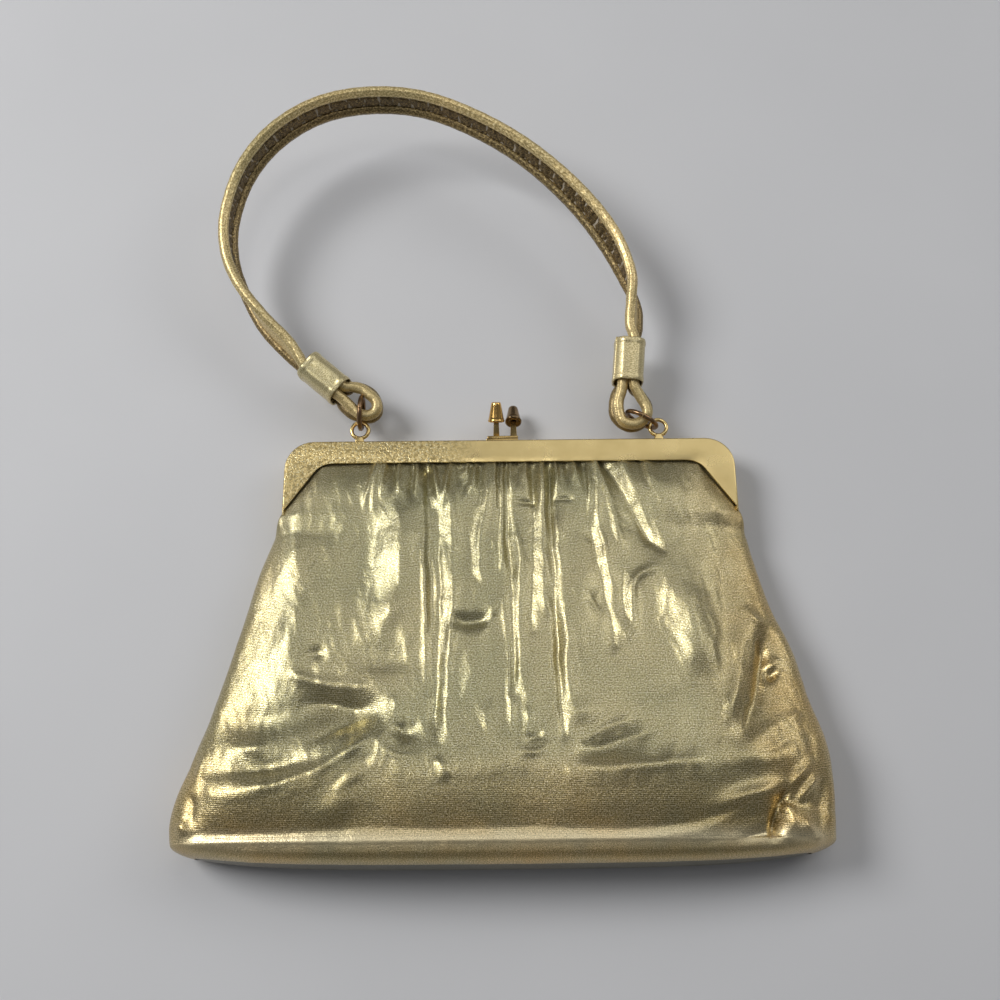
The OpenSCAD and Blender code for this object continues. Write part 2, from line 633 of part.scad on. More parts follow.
// One point of the section at y: column goes from 0 at the left foot to last_column at the right foot
side_tuck = 4;
waist = 0.3;
crown_flat = 3;
function section_point(column, y, inset, foot) = let (
    side = columns_all[column][0],
    place = columns_all[column][1],
    w = (column < last_column / 2 ? lookup(y, left_w) : lookup(y, right_w)) - inset,
    h = lookup(y, crown_h) - inset,
    middle = waist * h,
    out_from = abs(fold_columns[side < 0 ? 0 : len(fold_columns) - 1]),
    x = side == 0 ? place : side * (out_from + (w - out_from) * place[0]),
    down = side == 0 ? 0 : place[1],
    high = pow(max(0, 1 - pow(abs(x) / w, crown_flat)), 0.25),
    z = middle + (h - middle) * high,
    fade = min(1, max(0, (y + pouch_drop - 2) / 6)) * min(1, max(0, (neck_y + 4 - y) / 8)),
    lift = fold_lift([x, y]) * high * fade
) down > 0
    ? [side * (w - side_tuck * pow(down, 2)), middle + (foot - middle) * down]
    : [x, z + lift];

// The base leans: the lower a point lies, the further its end of the panel reaches
function lean_at(y) = base_lean * pow(max(0, (-y / pouch_drop - 0.72) / 0.28), 1.5);
side_top = 1.5;
function top_at(column) = let (
    out = abs(section_point(column, 0, 0, cloth_t)[0]) / shoulder_w
) panel_top - (panel_top - side_top) * pow(max(0, out - 0.74) / 0.26, 0.8);

// Rows of a sheet: a few down to the hinges, then a step out past them and on to the base
neck_rows = 3;
neck_y = -hinge_clear;
flare_y = neck_y - 1.2;
function row_y(column, row, rows) = row <= neck_rows
    ? top_at(column) + (neck_y - top_at(column)) * row / neck_rows
    : flare_y - (pouch_drop + flare_y) * (row - neck_rows - 1) / (rows - neck_rows - 1);
function shell_point(column, row, rows, inset, foot) = let (
    y = row_y(column, row, rows),
    q = section_point(column, y, inset, foot)
) [q[0], y - lean_at(y) * (1 - q[1] / pouch_d), q[1]];

// A curved sheet between two such surfaces
module shell(outer, inner, foot, rows) {
    columns = last_column;
    n = columns + 1;
    count = n * (rows + 1);
    points = [for (inset = [outer, inner], row = [0 : rows], i = [0 : columns])
        shell_point(i, row, rows, inset, foot)];
    faces = [
        for (row = [0 : rows - 1], i = [0 : columns - 1]) each let (a = row * n + i, b = a + n) [
            [a, a + 1, b + 1], [a, b + 1, b],
            [count + a, count + b + 1, count + a + 1], [count + a, count + b, count + b + 1]
        ],
        for (i = [0 : columns - 1], end = [0, rows]) each let (a = end * n + i) end == 0
            ? [[a, count + a + 1, a + 1], [a, count + a, count + a + 1]]
            : [[a, a + 1, count + a + 1], [a, count + a + 1, count + a]],
        for (row = [0 : rows - 1], i = [0, columns]) each let (a = row * n + i, b = a + n) i == 0
            ? [[a, b, count + b], [a, count + b, count + a]]
            : [[a, count + b, b], [a, count + a, count + b]]
    ];
    polyhedron(points = points, faces = faces);
}

panel_rows = 20;
lining_in = cloth_t + layer_gap;
module front_panel() color(lame) shell(0, cloth_t, cloth_t, panel_rows);
module front_lining() {
    color(lining_cloth)
        shell(lining_in, lining_in + lining_t, lining_in + lining_t, panel_rows);
}

// Flat back of the pouch, drawn in by so much and cut off at the height low
back_rows = 12;
back_ys = concat([side_top, neck_y], [for (i = [0 : back_rows]) flare_y - (pouch_drop + flare_y) * i / back_rows]);
back_reach = 1.6;
back_low = -pouch_drop - base_lean;
function back_y(y, low) = side_top + (y - lean_at(y) - side_top) * (low - side_top) / (back_low - side_top);
function back_outline(inset, top, low) = let (in = side_tuck - back_reach + inset, last = len(back_ys) - 1) concat(
    [for (y = back_ys) [lookup(y, right_w) - in, back_y(y, low)]],
    [for (i = [last : -1 : 0]) [in - lookup(back_ys[i], left_w), back_y(back_ys[i], low)]],
    [[inset + 0.5 - gusset_in, top - 4], [inset - back_heading_w, top], [back_heading_w - inset, top],
        [gusset_in - 0.5 - inset, top - 4]]
);
back_heading_w = gusset_in - gusset_turn - 1;
back_top = bar_low - running_gap;
channel_floor = lie_gap + sheet_t + layer_gap;
module rear_panel() {
    color(lame) {
        linear_extrude(cloth_t) polygon(back_outline(0, back_top, back_low - cloth_t));
        translate([-back_heading_w, back_top - cloth_t, 0])
            cube([2 * back_heading_w, cloth_t, channel_floor + cloth_t]);
        translate([-back_heading_w, back_top - cloth_t, channel_floor])
            cube([2 * back_heading_w, heading_top - back_top + cloth_t, cloth_t]);
    }
}

module rear_lining() {
    w = back_heading_w - lining_t;
    step_y = back_top - 2 * cloth_t;
    color(lining_cloth) {
        translate([0, 0, lining_in])
            linear_extrude(lining_t) polygon(back_outline(2 * cloth_t + 3 * lining_t, step_y, back_low + board_t + 3));
        translate([-w, step_y - lining_t, lining_in])
            cube([2 * w, lining_t, channel_floor + lining_t]);
        translate([-w, step_y - lining_t, channel_floor + lining_in])
            cube([2 * w, heading_top - step_y + lining_t, lining_t]);
    }
}

// Plate across the base, in the leaning plane that ends the front panel
base_slope = atan(base_lean / pouch_d);
module base_plate(inset, foot, thick, depth) {
    outline = [for (i = [0 : last_column]) let (q = section_point(i, -pouch_drop, inset, foot))
        [q[0], (q[1] - pouch_d) / cos(base_slope)]];
    translate([0, -pouch_drop, pouch_d]) rotate([90 - base_slope, 0, 0])
        translate([0, 0, depth]) linear_extrude(thick) polygon(outline);
}

module base_panel() color(lame) base_plate(0, cloth_t, cloth_t, layer_gap / 2);
module base_board() {
    color(card) base_plate(cloth_t + lining_t + board_inset, cloth_t + lining_t + board_inset, board_t,
        -board_t - layer_gap);
}
module base_lining() {
    color(lining_cloth) base_plate(lining_in + 2 * lining_t, lining_in + 3 * lining_t,
        lining_t, -board_t - lining_t - 2 * layer_gap);
}

rear_frame();
front_frame();
hinge_rivet_left();
hinge_rivet_right();
rear_clasp_arm();
rear_clasp_knob();
front_clasp_arm();
front_clasp_knob();
handle_eye_left();
handle_eye_right();
ring_left();
ring_right();
strap_outer_band();
strap_inner_band();
strap_core();
strap_piping_front();
strap_piping_back();
sleeve_left();
sleeve_right();
front_heading();
front_heading_lining();
front_panel();
rear_panel();
base_panel();
base_board();
front_lining();
rear_lining();
base_lining();
front_paper_cord();
rear_paper_cord();
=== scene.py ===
# %% [markdown]
# # Kiss lock frame purse
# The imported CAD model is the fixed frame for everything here: metres, +Z up, the purse lying on its back
# with its front towards +Z. Metal parts keep the CAD's shape with softer edges, and every cloth part is made
# again as real cloth. The first cell loads the frame and keeps the CAD's box, to compare sizes at the end.

# %% Load the frame
import bpy, bmesh, math
import numpy as np
from mathutils import Matrix, Vector


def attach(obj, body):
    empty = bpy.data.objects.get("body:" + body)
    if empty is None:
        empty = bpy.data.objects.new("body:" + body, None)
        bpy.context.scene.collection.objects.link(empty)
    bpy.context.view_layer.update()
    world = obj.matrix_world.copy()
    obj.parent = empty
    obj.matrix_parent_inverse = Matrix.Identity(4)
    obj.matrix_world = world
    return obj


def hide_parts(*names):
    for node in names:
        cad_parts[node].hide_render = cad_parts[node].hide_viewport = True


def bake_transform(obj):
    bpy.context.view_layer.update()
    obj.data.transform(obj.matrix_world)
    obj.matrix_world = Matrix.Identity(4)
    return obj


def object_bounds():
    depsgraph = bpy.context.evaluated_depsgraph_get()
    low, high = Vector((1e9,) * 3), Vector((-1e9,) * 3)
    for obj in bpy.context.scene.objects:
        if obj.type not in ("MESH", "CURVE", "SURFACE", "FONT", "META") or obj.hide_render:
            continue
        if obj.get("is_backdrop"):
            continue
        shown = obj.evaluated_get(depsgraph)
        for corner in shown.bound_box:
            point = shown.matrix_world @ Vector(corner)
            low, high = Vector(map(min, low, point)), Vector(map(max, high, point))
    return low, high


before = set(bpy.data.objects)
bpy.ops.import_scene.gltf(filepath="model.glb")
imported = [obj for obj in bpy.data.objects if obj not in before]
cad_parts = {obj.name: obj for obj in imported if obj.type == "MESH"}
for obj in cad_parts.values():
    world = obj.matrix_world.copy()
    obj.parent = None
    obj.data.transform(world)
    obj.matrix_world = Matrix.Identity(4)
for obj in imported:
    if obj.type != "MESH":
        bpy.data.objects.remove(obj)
cad_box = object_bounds()
scene = bpy.context.scene
scene.view_settings.view_transform = "Standard"
mm = 0.001

# %% [markdown]
# ## Camera
# The photograph looks down at the purse from 70 degrees above the table and about 0.48 m away, with the
# frame's top rising a little to the right. A camera is aimed by turning its -Z axis to the target.

# %% Camera
eye = Vector((-4, -157.9, 462.9)) * mm
target = Vector((-4, 7, 10)) * mm
focal_length, sensor_width, picture_turn = 43.45, 36, math.radians(-0.6)

lens = bpy.data.cameras.new("camera")
lens.sensor_width, lens.lens, lens.clip_start = sensor_width, focal_length, 0.01
camera = bpy.data.objects.new("camera", lens)
scene.collection.objects.link(camera)
aim = (target - eye).to_track_quat("-Z", "Y").to_matrix().to_4x4()
camera.matrix_world = Matrix.Translation(eye) @ aim @ Matrix.Rotation(picture_turn, 4, "Z")
scene.camera = camera
print("camera distance, m:", round((target - eye).length, 3))

# %% [markdown]
# ## Helpers for materials
# A material is a small graph of nodes. `add` makes one node, sets it up and wires its inputs, so each finish
# below reads from top to bottom. Numbers that are the same all over the surface are set on the shader itself.

# %% Material helpers
def material(name, **sockets):
    """A new material and its shader, with plain values on the shader's sockets."""
    mat = bpy.data.materials.new(name)
    mat.use_nodes = True
    shader = mat.node_tree.nodes["Principled BSDF"]
    for socket, value in sockets.items():
        shader.inputs[socket.replace("_", " ")].default_value = value
    return mat, mat.node_tree, shader

def feed(tree, node, place, value):
    """Wires another node's output into an input, or sets the input to a plain value."""
    if isinstance(value, bpy.types.NodeSocket):
        tree.links.new(value, node.inputs[place])
    else:
        node.inputs[place].default_value = value

def add(tree, kind, inputs, **settings):
    """One node of a material; an input is a number, a colour or another node's output."""
    node = tree.nodes.new("ShaderNode" + kind)
    for name, value in settings.items():
        setattr(node, name, value)
    for name, value in inputs.items():
        feed(tree, node, name, value)
    return node

def ramp(tree, fac, *stops):
    """A colour ramp; each stop is a place and a colour."""
    node = add(tree, "ValToRGB", {"Fac": fac})
    points = node.color_ramp.elements
    while len(points) < len(stops):
        points.new(0.5)
    for point, (place, colour) in zip(points, stops):
        point.position = place
        point.color = (*colour, 1)
    return node.outputs["Color"]

mix_factor, mix_a, mix_b, mix_result = 0, 6, 7, 2  # where a Mix node keeps its sockets for colours

def mixed(tree, fac, a, b, how="MIX"):
    """Two colours mixed by fac."""
    node = add(tree, "Mix", {}, data_type="RGBA", blend_type=how)
    feed(tree, node, mix_factor, fac)
    for place, colour in ((mix_a, a), (mix_b, b)):
        feed(tree, node, place, colour if isinstance(colour, bpy.types.NodeSocket) else (*colour, 1))
    return node.outputs[mix_result]

def maths(tree, how, a, b):
    """One sum on two values."""
    node = add(tree, "Math", {}, operation=how)
    feed(tree, node, 0, a)
    feed(tree, node, 1, b)
    return node.outputs[0]

def times(tree, a, b):
    return maths(tree, "MULTIPLY", a, b)

def plus(tree, a, b):
    return maths(tree, "ADD", a, b)

def between(tree, value, low, high, to_low=0.0, to_high=1.0):
    """Maps a value from one range to another, without running past its ends."""
    return add(tree, "MapRange", {"Value": value, "From Min": low, "From Max": high,
                                  "To Min": to_low, "To Max": to_high}).outputs["Result"]

def noise(tree, at, scale, detail=2.0, rough=0.55):
    return add(tree, "TexNoise", {"Vector": at, "Scale": scale, "Detail": detail,
                                  "Roughness": rough}).outputs["Fac"]

def bumped(tree, shader, **inputs):
    """A bump for a shader's surface; distances are in metres."""
    bump = add(tree, "Bump", {name.title(): value for name, value in inputs.items()})
    tree.links.new(bump.outputs["Normal"], shader.inputs["Normal"])

def stripes(tree, flat, pitch, more):
    """Stripes across a flat map, pitch metres apart: at scale 1 a wave repeats every pi / 10."""
    return add(tree, "TexWave", {"Vector": flat, "Scale": math.pi / 10 / pitch, **more},
               wave_type="BANDS", bands_direction="Y").outputs["Fac"]

# %% [markdown]
# ## Painted light on the pouch
# The pouch's colour is warmer near its sides and base, a painted warm reflection where the cloth rolls away,
# and the stiff rim above the base has a painted highlight, a bright line in its colour. Painting a map by
# hand would do it too, but a few limits on the object's own coordinates are easier to move. Each limit fades
# in between two places, broken up by noise.

# %% Where the pouch's colour has painted light
# places on the pouch in metres: where a change of colour starts, and where it is full
warm_low, warm_right, warm_left = (-0.095, -0.122), (0.066, 0.098), (-0.085, -0.12)
# the rim's painted highlight: y where it rises and where it falls, and the heights it covers; then its colour
rim_above, rim_below, rim_high = (-0.1200, -0.1246), (-0.1296, -0.1250), (0.018, 0.027)
rim_highlight_gold = (1.0, 0.90, 0.62)
# colour multiplied in for the painted warm reflection near the sides and base
warmer = (1.16, 0.92, 0.66)

def painted_pouch_light(tree, cloth, place, worn, grain, warm):
    """Paints light into the cloth's colour: a warm reflection near the pouch's sides and base, and a bright
    highlight along its stiff rim.
    """
    axes = add(tree, "SeparateXYZ", {"Vector": place})
    # painted warm reflection, strongest towards the base and the sides
    low = between(tree, axes.outputs["Y"], *warm_low)
    right = between(tree, axes.outputs["X"], *warm_right)
    left = between(tree, axes.outputs["X"], *warm_left)
    edge = maths(tree, "MAXIMUM", maths(tree, "MAXIMUM", low, right), left)
    edge = times(tree, edge, between(tree, worn, 0.3, 0.7, 0.45, warm))
    cloth = mixed(tree, edge, cloth, mixed(tree, 1.0, cloth, warmer, "MULTIPLY"))
    # painted highlight: a bright line along the stiff rim
    rim_highlight = times(tree, between(tree, axes.outputs["Y"], *rim_above, 0.0, 0.62),
                   between(tree, axes.outputs["Y"], *rim_below))
    rim_highlight = times(tree, rim_highlight, between(tree, grain, 0.25, 0.6, 0.5, 1.0))
    rim_highlight = times(tree, rim_highlight, between(tree, axes.outputs["Z"], *rim_high))
    return mixed(tree, rim_highlight, cloth, rim_highlight_gold)

print("bright rim from y =", rim_below[0], "to", rim_above[0], "m")

# %% [markdown]
# ## Lame cloth
# The purse's cloth is woven with flat metal thread: fine ribs across, a glitter of single threads, and a
# colour that wanders from olive to gold. The cloth has its own flat map in metres, so its ribs follow every
# fold. Ribs and grain go into the bump, the colour and the gloss. An image of real cloth would do the same,
# but noise has no seams and stays sharp from close by.

# %% Lame cloth
def lame(name, deep, mid, light, rib=0.72, rib_depth=0.3, grain_depth=0.8, warm=0.0, rib_tone=0.12,
         metal=0.92):
    """Cloth of metal thread in three tones, with its ribs rib mm apart."""
    mat, tree, shader = material(name, Metallic=metal, Coat_Weight=0.35, Coat_Roughness=0.4)
    at = add(tree, "TexCoord", {})
    flat, place = at.outputs["UV"], at.outputs["Object"]
    ribs = stripes(tree, flat, rib * mm, {"Distortion": 0.7, "Detail": 1.0, "Detail Scale": 0.3})
    grain = noise(tree, flat, 2100, 2.0, 0.7)
    flecks = noise(tree, flat, 1150, 1.0, 0.5)
    drift = noise(tree, place, 24, 3.0, 0.5)
    worn = noise(tree, place, 70, 2.0, 0.6)

    glint = plus(tree, times(tree, grain, 0.75), times(tree, ribs, rib_tone))
    cloth = ramp(tree, glint, (0.32, deep), (0.435, mid), (0.57, light))
    wide = ramp(tree, drift, (0.35, (0.86, 0.88, 0.84)), (0.65, (1.1, 1.06, 1.0)))
    cloth = mixed(tree, 1.0, cloth, wide, "MULTIPLY")
    # on the pouch's cloth, a painted warm reflection and a painted rim highlight
    if warm:
        cloth = painted_pouch_light(tree, cloth, place, worn, grain, warm)
    tree.links.new(cloth, shader.inputs["Base Color"])

    patches = plus(tree, times(tree, flecks, 0.6), times(tree, worn, 0.4))
    tree.links.new(between(tree, patches, 0.35, 0.65, 0.30, 0.45), shader.inputs["Roughness"])
    rise = plus(tree, times(tree, ribs, rib_depth), times(tree, plus(tree, grain, flecks), grain_depth))
    soft = noise(tree, place, 170, 2.0, 0.5)
    crumple = add(tree, "Bump", {"Strength": 0.5, "Distance": 0.0006, "Height": soft})
    bumped(tree, shader, strength=0.55, distance=0.00016, height=rise, normal=crumple.outputs["Normal"])
    return mat

# %% [markdown]
# ## Cloth finishes
# The pouch's cloth is the full weave, with a painted warm reflection and a painted highlight on its rim. The
# base's is plainer, and its dark tones are painted shade. The strap's is drawn so tight over its cords that
# no ribs show, and its back roll and inner face have darker tones of painted shade. Each finish is one call
# with three tones: the dark between the threads, the thread itself, and its glint.

# %% Cloth finishes
pouch_lame = lame("olive gold lame", (0.17, 0.143, 0.048), (0.55, 0.495, 0.275), (0.93, 0.90, 0.75), rib=0.6,
                  rib_depth=0.2, rib_tone=0.08, warm=0.9)
# the base's dark tones are painted shade
base_lame_painted_shade = lame("base lame", (0.06, 0.05, 0.026), (0.14, 0.125, 0.075), (0.25, 0.225, 0.15), grain_depth=0.3)
strap_lame = lame("strap lame", (0.46, 0.34, 0.14), (0.92, 0.74, 0.38), (1.0, 0.92, 0.62), rib_depth=0.0,
                  grain_depth=0.35, rib_tone=0.0, metal=0.55)
# the back roll's darker tones are painted shade
back_lame_painted_shade = lame("strap edge lame", (0.12, 0.08, 0.028), (0.40, 0.29, 0.12), (0.78, 0.62, 0.32),
                 rib_depth=0.0, grain_depth=0.6, rib_tone=0.0, metal=0.6)
# the inner face's dark tones are painted shade
inner_lame_painted_shade = lame("strap inner lame", (0.05, 0.032, 0.011), (0.24, 0.16, 0.058), (0.70, 0.50, 0.20),
                  rib_depth=0.0, grain_depth=0.9, rib_tone=0.0, metal=0.6)
sleeve_lame = lame("sleeve lame", (0.46, 0.37, 0.17), (0.84, 0.73, 0.43), (1.0, 0.93, 0.70), rib_depth=0.15,
                   grain_depth=0.25, rib_tone=0.04, metal=0.7)
print("cloth finishes:", pouch_lame.name, base_lame_painted_shade.name, strap_lame.name, inner_lame_painted_shade.name)

# %% [markdown]
# ## Metals
# The frame is satin gilded brass: smooth on the right, pitted and speckled on the left third where hands
# have worn the plating. The clasp and rings are older and darker. Pits and speckle come from noise on the
# object's own coordinates, masked by a soft left-to-right change.

# %% Metals
pitted_left = (-0.012, -0.03)  # x in metres where the pits start, and where they are full
bright_speckle = (1.0, 0.93, 0.62)

def gilt(name, colour, dark, rough=0.3, pits=0.0, scratch=0.12):
    """Gilded brass, brushed along x; pits is how deep the plating is pitted on the left."""
    mat, tree, shader = material(name, Metallic=1.0)
    place = add(tree, "TexCoord", {}).outputs["Object"]
    fine, wide = noise(tree, place, 1500, 2.0, 0.6), noise(tree, place, 90, 3.0, 0.6)
    brushed = add(tree, "Mapping", {"Vector": place, "Scale": (0.05, 1.0, 1.0)}).outputs["Vector"]
    tone = mixed(tree, between(tree, wide, 0.3, 0.75, 0.0, 0.5), colour, dark)
    rise = times(tree, noise(tree, brushed, 2600, 2.0, 0.6), scratch)
    worn = between(tree, wide, 0.35, 0.7, rough - 0.05, rough + 0.1)
    if pits:
        axes = add(tree, "SeparateXYZ", {"Vector": place})
        left = between(tree, axes.outputs["X"], *pitted_left)
        pitted = times(tree, left, between(tree, noise(tree, place, 720, 3.0, 0.65), 0.46, 0.56))
        tone = mixed(tree, times(tree, pitted, 0.75), tone, [c * 0.42 for c in dark])
        speckle = times(tree, left, between(tree, fine, 0.55, 0.65, 0.0, 0.7))
        tone = mixed(tree, speckle, tone, bright_speckle)
        rise = plus(tree, rise, times(tree, pitted, -pits))
        worn = plus(tree, worn, times(tree, pitted, 0.15))
    tree.links.new(tone, shader.inputs["Base Color"])
    tree.links.new(worn, shader.inputs["Roughness"])
    bumped(tree, shader, strength=0.4, distance=0.0001, height=rise)
    return mat

frame_gilt = gilt("frame gilt", (0.74, 0.58, 0.27), (0.60, 0.45, 0.18), rough=0.3, pits=1.4)
clasp_gilt = gilt("clasp gilt", (0.62, 0.44, 0.17), (0.20, 0.13, 0.06), rough=0.24)
knob_amber = gilt("knob amber gilt", (0.86, 0.55, 0.18), (0.45, 0.24, 0.07), rough=0.16, scratch=0.05)
# the front knob is the same gilt in darker tones, painted shade
knob_gilt_painted_shade = gilt("knob dark gilt", (0.30, 0.20, 0.10), (0.07, 0.045, 0.03), rough=0.16, scratch=0.05)
eye_gilt = gilt("eye gilt", (0.84, 0.64, 0.28), (0.52, 0.36, 0.14), rough=0.22)
ring_bronze = gilt("ring bronze", (0.34, 0.21, 0.11), (0.09, 0.06, 0.04), rough=0.28)
print("metal finishes:", 6)

# %% [markdown]
# ## Floor and light
# A plain pale floor and plain soft light. The strongest lamp stands high on the left, as in the photograph,
# where the handle's shadow falls to the right of it. A very wide one behind the purse and a small one above
# it draw the long soft lights on level cloth, and a weak one on the right opens the shadows there.

# %% Floor and light
aimed_at = Vector((0, -0.05, 0))
floor_z = -0.0002

def lamp(name, place, size, watts):
    data = bpy.data.lights.new(name, "AREA")
    data.shape, data.size, data.energy = "DISK", size, watts
    made = bpy.data.objects.new(name, data)
    scene.collection.objects.link(made)
    aim = (aimed_at - Vector(place)).to_track_quat("-Z", "Y").to_matrix().to_4x4()
    made.matrix_world = Matrix.Translation(place) @ aim

lamp("key lamp", (-1.02, 0.34, 1.05), 0.7, 12)
lamp("top lamp", (0.4, 0.78, 1.3), 1.4, 3.5)
lamp("high lamp", (-0.1, 0.05, 1.6), 0.4, 1.0)
lamp("right lamp", (1.1, 0.5, 0.9), 0.7, 2.6)
world = bpy.data.worlds.new("room")
world.use_nodes = True
world.node_tree.nodes["Background"].inputs["Color"].default_value = (0.13, 0.132, 0.137, 1)
scene.world = world

bm = bmesh.new()
bmesh.ops.create_grid(bm, x_segments=1, y_segments=1, size=3)
bmesh.ops.translate(bm, verts=bm.verts, vec=(0, 0, floor_z))
floor_mesh = bpy.data.meshes.new("floor")
bm.to_mesh(floor_mesh)
bm.free()
floor = bpy.data.objects.new("floor", floor_mesh)
scene.collection.objects.link(floor)
floor_finish, tree, shader = material("pale floor", Roughness=0.7)
shade = noise(tree, add(tree, "TexCoord", {}).outputs["Object"], 6, 3.0)
greys = ramp(tree, shade, (0.3, (0.66, 0.66, 0.67)), (0.7, (0.69, 0.69, 0.70)))
tree.links.new(greys, shader.inputs["Base Color"])
floor_mesh.materials.append(floor_finish)
floor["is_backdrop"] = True
print("floor, m:", [round(v, 2) for v in floor.dimensions])

# %% [markdown]
# ## Helpers for pieces
# `piece` turns a bmesh into an object, gives it a finish and says which CAD body it rides on. `cad_copy`
# copies a CAD part and merges its loose triangles, and `round_edges` rounds sharp edges a little, because
# real folded sheet has soft edges that catch the light.

# %% Piece helpers
def piece(name, bm, finish, body=None, nodes=(), recalc=True, crease=50):
    """An object from a bmesh, smooth except at edges sharper than crease degrees."""
    if recalc:
        bmesh.ops.recalc_face_normals(bm, faces=bm.faces)
    for face in bm.faces:
        face.smooth = True
    for edge in bm.edges:
        edge.smooth = not edge.is_manifold or edge.calc_face_angle(0) < math.radians(crease)
    mesh = bpy.data.meshes.new(name)
    bm.to_mesh(mesh)
    bm.free()
    mesh.materials.append(finish)
    made = bpy.data.objects.new(name, mesh)
    scene.collection.objects.link(made)
    if nodes:
        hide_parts(*nodes)
    if body:
        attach(made, body)
    return made

def cad_copy(node, flat=0.5):
    """The node's mesh as a clean bmesh, its triangles merged into the faces that they came from."""
    bm = bmesh.new()
    bm.from_mesh(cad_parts[node].data)
    bmesh.ops.remove_doubles(bm, verts=bm.verts, dist=2e-6)
    bmesh.ops.dissolve_limit(bm, angle_limit=math.radians(flat), verts=bm.verts, edges=bm.edges)
    return bm

def round_edges(bm, edges, by, segments=3):
    bmesh.ops.bevel(bm, geom=edges, offset=by, offset_type="OFFSET", affect="EDGES", segments=segments,
                    profile=0.5, material=-1, clamp_overlap=True, loop_slide=True)

def sharp(bm, least=35):
    """Edges whose faces meet at more than least degrees."""
    return [e for e in bm.edges if e.is_manifold and e.calc_face_angle(0) > math.radians(least)]

def thickened(made, wall, side):
    """Gives a sheet its thickness in metres: side -1 is inwards from its faces, 0 to both sides."""
    solid = made.modifiers.new("thickness", "SOLIDIFY")
    solid.thickness, solid.offset = wall, side
    return made

# %% [markdown]
# ## Frame halves
# Each half is one strip of brass, folded round the purse's mouth: a face, a rim, and a channel behind the
# face that grips the cloth. The outer fold of a real frame is rounded, and the rest is only broken by
# tumbling, so the long outer edge gets a wide soft bevel and the others a fine one.

# %% Frame halves
# just inside the frame's outline as seen from the front, in metres: sides, top, arms' ends and corners
side_x, top_y, arm_y = 0.0896, 0.0307, 0.0191
corner_x, corner_y, corner_r = 0.0785, 0.0195, 0.0112
front_face_z, rear_face_z = 0.0152, 0.0012

def on_outline(co):
    round_corner = math.hypot(abs(co.x) - corner_x, co.y - corner_y) > corner_r
    return abs(co.x) > side_x or (co.y > arm_y and (co.y > top_y or round_corner))

def frame_half(node, face_z, name, body):
    bm = cad_copy(node)
    outer = [e for e in sharp(bm) if all(abs(v.co.z - face_z) < 1e-5 and on_outline(v.co) for v in e.verts)]
    round_edges(bm, outer, 0.65 * mm, 4)
    round_edges(bm, sharp(bm, 50), 0.14 * mm, 2)
    print(name, "rounded outer edges:", len(outer), "faces:", len(bm.faces))
    piece(name, bm, frame_gilt, body, [node], crease=32)

frame_half("front_frame", front_face_z, "front_frame_half", "front_half")
frame_half("rear_frame", rear_face_z, "rear_frame_half", "pouch")

# %% [markdown]
# ## Hinge rivets
# Small turned pins that the front half swings on: the CAD's shapes are right, so only their edges are
# softened.

# %% Hinge rivets
for word in ("left", "right"):
    node = f"hinge_rivet_{word}"
    bm = cad_copy(node)
    round_edges(bm, sharp(bm), 0.12 * mm, 2)
    piece(node + "_dressed", bm, eye_gilt, "pouch", [node])
print("rivets:", 2)

# %% [markdown]
# ## Clasp
# Each arm of the kiss lock is a thin strip folded double along the frame's top, its end bent up into a stem
# that leans across to the other half. The strip's two layers show as a dark slit along its side. A knob is
# turned on a lathe, so its outline is spun round the stem: a small collar, a cone, and a flat tip.

# %% Clasp
top = 31.0                                  # the frame's top edge, mm
strip_long, strip_wide, strip_thick, strip_pitch = 12.9, 3.9, 1.1, 1.22
strip_past_stem, lower_gap, upper_shorter = 1.75, 0.02, 0.5
stem_wide, stem_long, stem_thick, stem_taper = 2.9, 11.3, 1.5, 0.72
knob_seat = 11.0                            # height of the knob's foot on its stem
knob_outline = [                            # radius and height in mm, from the foot to the tip
    (0.0, 0.3), (1.6, 0.3), (2.2, 0.0), (2.9, 0.0), (3.2, 0.12), (3.38, 0.4), (3.4, 0.8), (3.24, 1.05),
    (3.1, 1.2), (3.12, 1.4), (2.95, 2.2), (2.7, 3.6), (2.44, 5.0), (2.2, 6.4), (2.04, 7.3), (1.94, 7.75),
    (1.78, 8.05), (1.5, 8.18), (0.9, 8.2), (0.0, 8.2)]

def leaning(x, z, lean):
    """From a clasp part's own place, y along the stem, to the purse."""
    return Matrix.Translation(Vector((x, top, z)) * mm) @ Matrix.Rotation(math.radians(lean), 4, "X")

def block(bm, size, middle):
    """A block of a size in mm, its middle at a place in mm."""
    made = bmesh.ops.create_cube(bm, size=1)["verts"]
    bmesh.ops.scale(bm, vec=Vector(size) * mm, verts=made)
    bmesh.ops.translate(bm, vec=Vector(middle) * mm, verts=made)
    return made

def clasp_strip(node, name, x, z, lean, way, body):
    """A strip along x with the stem near one of its ends: way is 1 for its right end, -1 for its left."""
    bm = bmesh.new()
    for layer in (0, 1):
        length = strip_long - upper_shorter * layer
        middle = x + way * (strip_past_stem - length / 2)
        low = lower_gap + strip_pitch * layer
        block(bm, (length, strip_thick, strip_wide - upper_shorter * layer),
              (middle, top + low + strip_thick / 2, z))
    stem = block(bm, (stem_wide, stem_long, stem_thick), (0, 5.5, 0))
    for v in stem:
        if v.co.y > stem_long / 2 * mm:
            v.co.x *= stem_taper
    bmesh.ops.transform(bm, matrix=leaning(x, z, lean), verts=stem)
    round_edges(bm, sharp(bm), 0.28 * mm, 3)
    piece(name, bm, clasp_gilt, body, [node])

